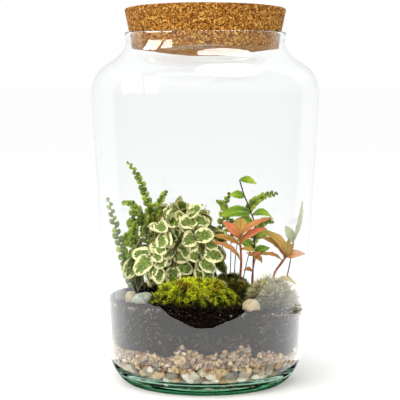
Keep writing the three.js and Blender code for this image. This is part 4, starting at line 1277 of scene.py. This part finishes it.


# Plants with listed stems. A leaf is (share along the stem, tip, width, rise, face, number): the
# number sets its age on the pink plant and its tone on the others.
STEMS = [
    {"name": "pink_stem_1", "radius": 1.5, "form": "lance", "foot": (40, -8),
     "bend": [(40, -9, 118), (41, -15, 143), (39, -22, 170)],
     "leaves": [
         (0.98, (18, -26, 188), 12, 3, FRONT, 0.05), (1.0, (41, -15, 191), 15, 1.5, FRONT, 0.75, "spoon"),
         (0.9, (71, -27, 180), 12, 4, UP, 0.1), (1.0, (78, -19, 190), 9, 7, UP, 0.3),
         (0.86, (4, -21, 170), 10, 5, UP, 0.7), (0.6, (5, -39, 166), 11, 7, UP, 0.45),
         (0.8, (58, -30, 152), 8, 3, UP, 0.9)]},
    {"name": "pink_stem_2", "radius": 1.7, "form": "lance", "foot": (78, 1),
     "bend": [(78, 1, 110), (80, 0, 124), (86, -1, 134), (93, -2, 144)],
     "leaves": [
         (1.0, (116, -10, 148), 11, 3, FRONT, 0.35), (1.0, (96, -9, 166), 11, 1.5, FRONT, 0.95),
         (0.98, (61, 0, 173), 13, 14, UP, 0.8), (0.96, (58, -7, 168), 11, 10, UP, 0.7),
         (0.9, (58, -10, 146), 7, 7, UP, 0.55), (0.42, (109, -8, 108), 9, 13, UP, 1.0),
         (0.97, (104, 12, 158), 9, 3, UP, 0.5)]},
    {"name": "pink_stem_3", "radius": 0.9, "form": "lance", "foot": (54, 8),
     "bend": [(54, 8, 112), (55, 8, 126), (58, 7, 141)],
     "leaves": [
         (1.0, (47, 2, 148), 7, 2, UP, 0.4), (1.0, (66, 2, 136), 8, 4, UP, 0.6),
         (0.7, (44, 12, 126), 7, 3, UP, 0.5), (0.98, (64, 16, 148), 8, 2, UP, 0.3)]},
    {"name": "green_stem", "radius": 1.0, "form": "lance", "foot": (56, 26),
     "bend": [(56, 26, 120), (57, 25, 149), (58, 24, 177), (50, 24, 202), (45, 24, 214), (40, 24, 231)],
     "leaves": [
         (1.0, (60, 21, 226), 11, 3, TILTED, 0.9), (0.86, (27, 18, 213), 12, 2, FRONT, 0.7),
         (0.72, (16, 17, 188), 17, 5, TILTED, 0.3), (0.62, (34, 14, 185), 14, 2, FRONT, 0.4),
         (0.7, (78, 23, 187), 11, 7, TILTED, 0.6), (0.5, (80, 31, 168), 13, 5, TILTED, 0.5),
         (0.38, (76, 18, 152), 14, 2, FRONT, 0.2), (0.42, (36, 31, 160), 12, 4, TILTED, 0.3)]},
    {"name": "slender_stem", "radius": 0.9, "form": "strap", "foot": (95, 18),
     "bend": [(95, 18, 110), (98, 16, 128), (102, 14, 150), (103, 13, 161)],
     "leaves": [(1.0, (113, 8, 208), 7, 4, (0.45, -1, 0.2), 0.5), (0.97, (93, 12, 178), 12, 2, FRONT, 0.9)]},
]


def make_plant(name, radius, form, foot, bend, leaves, paints, slot):
    points = [foot_of(*foot), *bend]
    along = along_stem(points, 2 * len(bend) + 1)
    shape = Shape()
    tube(shape, spaced(points, 48), radius * np.linspace(1.05, 0.8, 49), sides=8, kind=1)
    for share, tip, width, rise, face, number, *own_form in leaves:
        leaf(shape, along(share), tip, face, width, rise, form=(own_form or [form])[0], number=number,
             rows=26, ripple=0.45, teeth=13, fold=0.12)
    shape.build(name + "_leafy", paints, slot, name)


# Fallen leaves and a twig
LITTER_LIFT = 1.1
LITTER = [("fallen_leaf_yellow", (46, -16), (33, -18), 9), ("fallen_leaf_red", (55, -10), (50, -17), 5)]
TWIG, TWIG_LIFT = [(-7, -78), (-1, -83), (6, -88)], 2.0


def on_ground(x, y, lift):
    return vec(x, y, ground_top(x, y) + lift)


def make_litter(name, start, end, width, paints, slot):
    x, y = (start[0] + end[0]) / 2, (start[1] + end[1]) / 2
    root, tip = on_ground(*start, LITTER_LIFT), on_ground(*end, LITTER_LIFT)
    rise = max(0, on_ground(x, y, LITTER_LIFT)[2] - (root[2] + tip[2]) / 2)
    slope_x, slope_y = slopes(ground_top, x, y, step=3)
    shape = Shape()
    face = unit(vec(-slope_x, -slope_y - 0.9, 1))
    leaf(shape, root, tip, face, width, rise, cup=0.6, form="round", ripple=0.4, rows=20, columns=10)
    shape.build(name + "_dry", paints, slot, name)


def make_twig():
    shape = Shape()
    points = spaced([on_ground(x, y, TWIG_LIFT) for x, y in TWIG], 24)
    tube(shape, points, 0.8 + 0.15 * bumps(points, 0.6), sides=10)
    paint = bark_material("dry_wood", (120, 78, 42), (196, 148, 96), scale=500)
    shape.build("twig_dry", [paint], "dry_wood", "twig")


# Camera, floor and light
PICTURE = 400  # the picture's width and height
SENSOR = 36
CAMERA = {"place": (0, -1.662, 0.357), "pitch": math.radians(5.08), "lens": 130.6, "shift": -0.01325}
FLOOR_REACH = 30
# The lit table top as the glass mirrors it, seen from above, in metres. In front of it the room is dark.
TABLE_EDGE = [
    (0.3, 0.66), (0.6, 0.4), (0.74, -0.1), (0.609, -0.252), (0.383, -0.345), (0.271, -0.36), (0.133, -0.388),
    (-0.033, -0.38), (-0.174, -0.378), (-0.346, -0.338), (-0.422, -0.269), (-0.7, 0), (-0.64, 0.4),
    (-0.3, 0.66),
]
TABLE_SHADE = 0.165  # the radius about the jar within which the table is in its shade
TABLE_LIGHT, GLINT_LIGHT = 3.0, 16.0  # how bright they are
# Two window panes and a lamp overhead, as outlines in the picture where the shoulder mirrors them
LAMP_TURNS = np.linspace(0, 2 * math.pi, 16, endpoint=False)
GLINTS = [
    [(122, 75), (141, 74), (143, 92), (123, 93)],
    [(145, 76), (160, 78), (157, 93), (147, 93)],
    [(229 + 34 * math.cos(t), 70 + 7 * math.sin(t)) for t in LAMP_TURNS],
]
GLINT_AWAY = 1500  # from the jar to a pane or the lamp, in millimetres
BOUNCES = (20, 8, 14)  # of light: in all, mirrored, and through glass
KEY = {"place": (-0.55, -0.95, 1.6), "aim": (0, 0, 0.15), "size": 1.6, "energy": 20}


def mirrored_light(name, strength):
    """Light that only a mirror image shows: to all other rays the sheet is clear."""
    paint = Paint(name)
    paint.tree.nodes.remove(paint.surface)
    light = paint.node("Emission", {"Strength": strength})
    paint.blend(paint.mirrored(), paint.node("BsdfTransparent"), light)
    return paint.material


def sheet(name, corners, material, faces=None, mirrored_only=False):
    """A flat stage sheet, in metres. mirrored_only shows it in the glass alone."""
    mesh = bpy.data.meshes.new(name)
    mesh.from_pydata(corners, [], faces or [tuple(range(len(corners)))])
    mesh.materials.append(material)
    made = linked(bpy.data.objects.new(name, mesh))
    if mirrored_only:
        for ray in ("camera", "diffuse", "transmission", "volume_scatter", "shadow"):
            setattr(made, "visible_" + ray, False)
    return made


def make_camera():
    data = bpy.data.cameras.new("camera")
    data.lens, data.sensor_width, data.shift_x = CAMERA["lens"], SENSOR, CAMERA["shift"]
    made = linked(bpy.data.objects.new("camera", data))
    made.location = CAMERA["place"]
    made.rotation_euler = (math.pi / 2 - CAMERA["pitch"], 0, 0)
    bpy.context.scene.camera = made


def make_world():
    """White all round to look at and to light by. In the glass its front is dark, the rest bright."""
    world = bpy.data.worlds.new("studio")
    bpy.context.scene.world = world
    world.use_nodes = True
    sky = Nodes(world.node_tree)
    background = sky.tree.nodes["Background"].inputs
    background["Color"].default_value = (0.995, 0.995, 0.995, 1)
    x, y, z = sky.split(sky.node("TexCoord").outputs["Generated"])
    turn = sky.math("ARCTAN2", x, sky.times(y, -1.0))
    right = sky.rising(turn, math.radians(108), math.radians(118))
    left = sky.rising(sky.times(turn, -1.0), math.radians(100), math.radians(108))
    level = sky.less(0.93, sky.times(sky.rising(z, -0.03, 0.1), 0.12))
    level = sky.times(level, sky.rising(z, -0.36, -0.26))
    in_glass = sky.times(sky.plus(right, left), level)
    mirrored = sky.mirrored()
    strength = sky.plus(sky.less(1.0, mirrored), sky.times(mirrored, in_glass))
    sky.feed(background["Strength"], strength)


def mirrored_from(x, y):
    """Where a ray from the camera goes once the jar's outside mirrors it at (x, y) of the picture."""
    focus = CAMERA["lens"] / SENSOR * PICTURE
    pitch = CAMERA["pitch"]
    ahead, up = vec(0, math.cos(pitch), -math.sin(pitch)), vec(0, math.sin(pitch), math.cos(pitch))
    across = x - PICTURE * (0.5 - CAMERA["shift"])
    way = unit(ahead * focus + vec(1, 0, 0) * across + up * (PICTURE / 2 - y))
    path = vec(*CAMERA["place"]) / MM + way * np.linspace(1400, 1700, 1201)[:, None]
    radii, heights = zip(*outer_profile(400))
    inside = np.hypot(path[:, 0], path[:, 1]) < np.interp(path[:, 2], heights, radii)
    place = path[np.argmax(inside)]
    step = 0.5
    low, high = np.interp([place[2] - step, place[2] + step], heights, radii)
    normal = unit(vec(*unit(place[:2]), -(high - low) / (2 * step)))
    return place + (way - 2 * (way @ normal) * normal) * GLINT_AWAY


def glint(name, outline, material):
    """A bright sheet, seen in the glass alone, that the picture shows with this outline."""
    corners = np.array(outline, float)
    halves = (corners + np.roll(corners, -1, axis=0)) / 2
    outline = np.stack([corners, halves], axis=1).reshape(-1, 2)
    middle = outline.mean(axis=0)
    rings = [middle + (outline - middle) * share for share in (0.05, 0.5, 1.0)]
    corners = [tuple(mirrored_from(*spot) * MM) for ring in rings for spot in ring]
    faces = [*grid_faces(3, len(outline), wrap=True), tuple(range(len(outline)))]
    sheet(name, corners, material, faces, mirrored_only=True)


def make_stage():
    paper = Paint("paper_floor", Base_Color=(0.985, 0.985, 0.985, 1), Roughness=1, Specular_IOR_Level=0)
    corners = [(-1, -1, 0), (1, -1, 0), (1, 1, 0), (-1, 1, 0)]
    floor = sheet("floor", [tuple(FLOOR_REACH * vec(*corner)) for corner in corners], paper.material)
    floor.visible_glossy = False
    table = [(x, y, 0) for x, y in TABLE_EDGE]
    shade = [tuple(unit(corner) * TABLE_SHADE) for corner in table]
    count = len(table)
    faces = [(i, (i + 1) % count, count + (i + 1) % count, count + i) for i in range(count)]
    light = mirrored_light("mirrored_table", TABLE_LIGHT)
    sheet("table_in_glass", table + shade, light, faces, mirrored_only=True)
    light = mirrored_light("mirrored_pane", GLINT_LIGHT)
    for number, outline in enumerate(GLINTS, 1):
        glint(f"glint_in_glass_{number}", outline, light)
    lamp = bpy.data.lights.new("key", "AREA")
    lamp.energy, lamp.size = KEY["energy"], KEY["size"]
    made = linked(bpy.data.objects.new("key", lamp))
    made.location = KEY["place"]
    made.visible_glossy = False
    made.rotation_euler = (Vector(KEY["aim"]) - made.location).to_track_quat("-Z", "Y").to_euler()
    bpy.context.scene.view_settings.view_transform = "Standard"
    cycles = bpy.context.scene.cycles
    cycles.max_bounces, cycles.glossy_bounces, cycles.transmission_bounces = BOUNCES


make_camera()
make_world()
make_stage()
make_jar()
make_cork()
make_pebbles()
make_granules()
make_soil()
make_stones()
moss_paint = moss_material()
for mound in MOUNDS:
    make_moss(mound, moss_paint)

fern_tones = [(62, 98, 16), (186, 204, 66)]
fern_paints = [
    leaf_material("fern_leaf", fern_tones, (196, 212, 96), (140, 166, 50), 0.45, vein_count=3, varied=1.1),
    bark_material("fern_rib", (70, 60, 26), (110, 120, 44)),
    bark_material("fern_tip", (30, 24, 16), (60, 50, 30)),
]
for number, frond in enumerate(FRONDS, 1):
    make_frond(number, *frond, fern_paints)

fig_paints = [fig_material(), bark_material("fig_twig", (96, 74, 40), (140, 132, 70))]
for number, stem in enumerate(FIG_STEMS):
    make_fig(stem, number, fig_paints)

green_tones = [(56, 104, 8), (112, 152, 14), (176, 200, 40)]
pale_tones = [(146, 158, 108), (198, 202, 164)]
pink_paints = [pink_material(), bark_material("pink_twig", (140, 58, 42), (198, 116, 78))]
green_paints = [
    leaf_material("green_leaf", green_tones, (174, 200, 60), (172, 200, 72)),
    bark_material("dark_twig", (48, 36, 30), (88, 70, 58)),
]
pale_paints = [
    leaf_material("pale_leaf", pale_tones, (222, 222, 194), (180, 182, 140)),
    bark_material("pale_twig", (120, 110, 80), (160, 150, 110)),
]
plant_paints = [(pink_paints, "pink_leaf")] * 3 + [(green_paints, "green_leaf"), (pale_paints, "pale_leaf")]
for plant, (paints, slot) in zip(STEMS, plant_paints):
    make_plant(**plant, paints=paints, slot=slot)

dry_tones = [(216, 150, 84), (246, 220, 130)]
dry_paint = leaf_material("dry_leaf", dry_tones, (250, 228, 160), (204, 140, 76), roughness=0.6)
make_litter(*LITTER[0], [dry_paint], "dry_leaf")
make_litter(*LITTER[1], [pink_paints[0]], "pink_leaf")
make_twig()
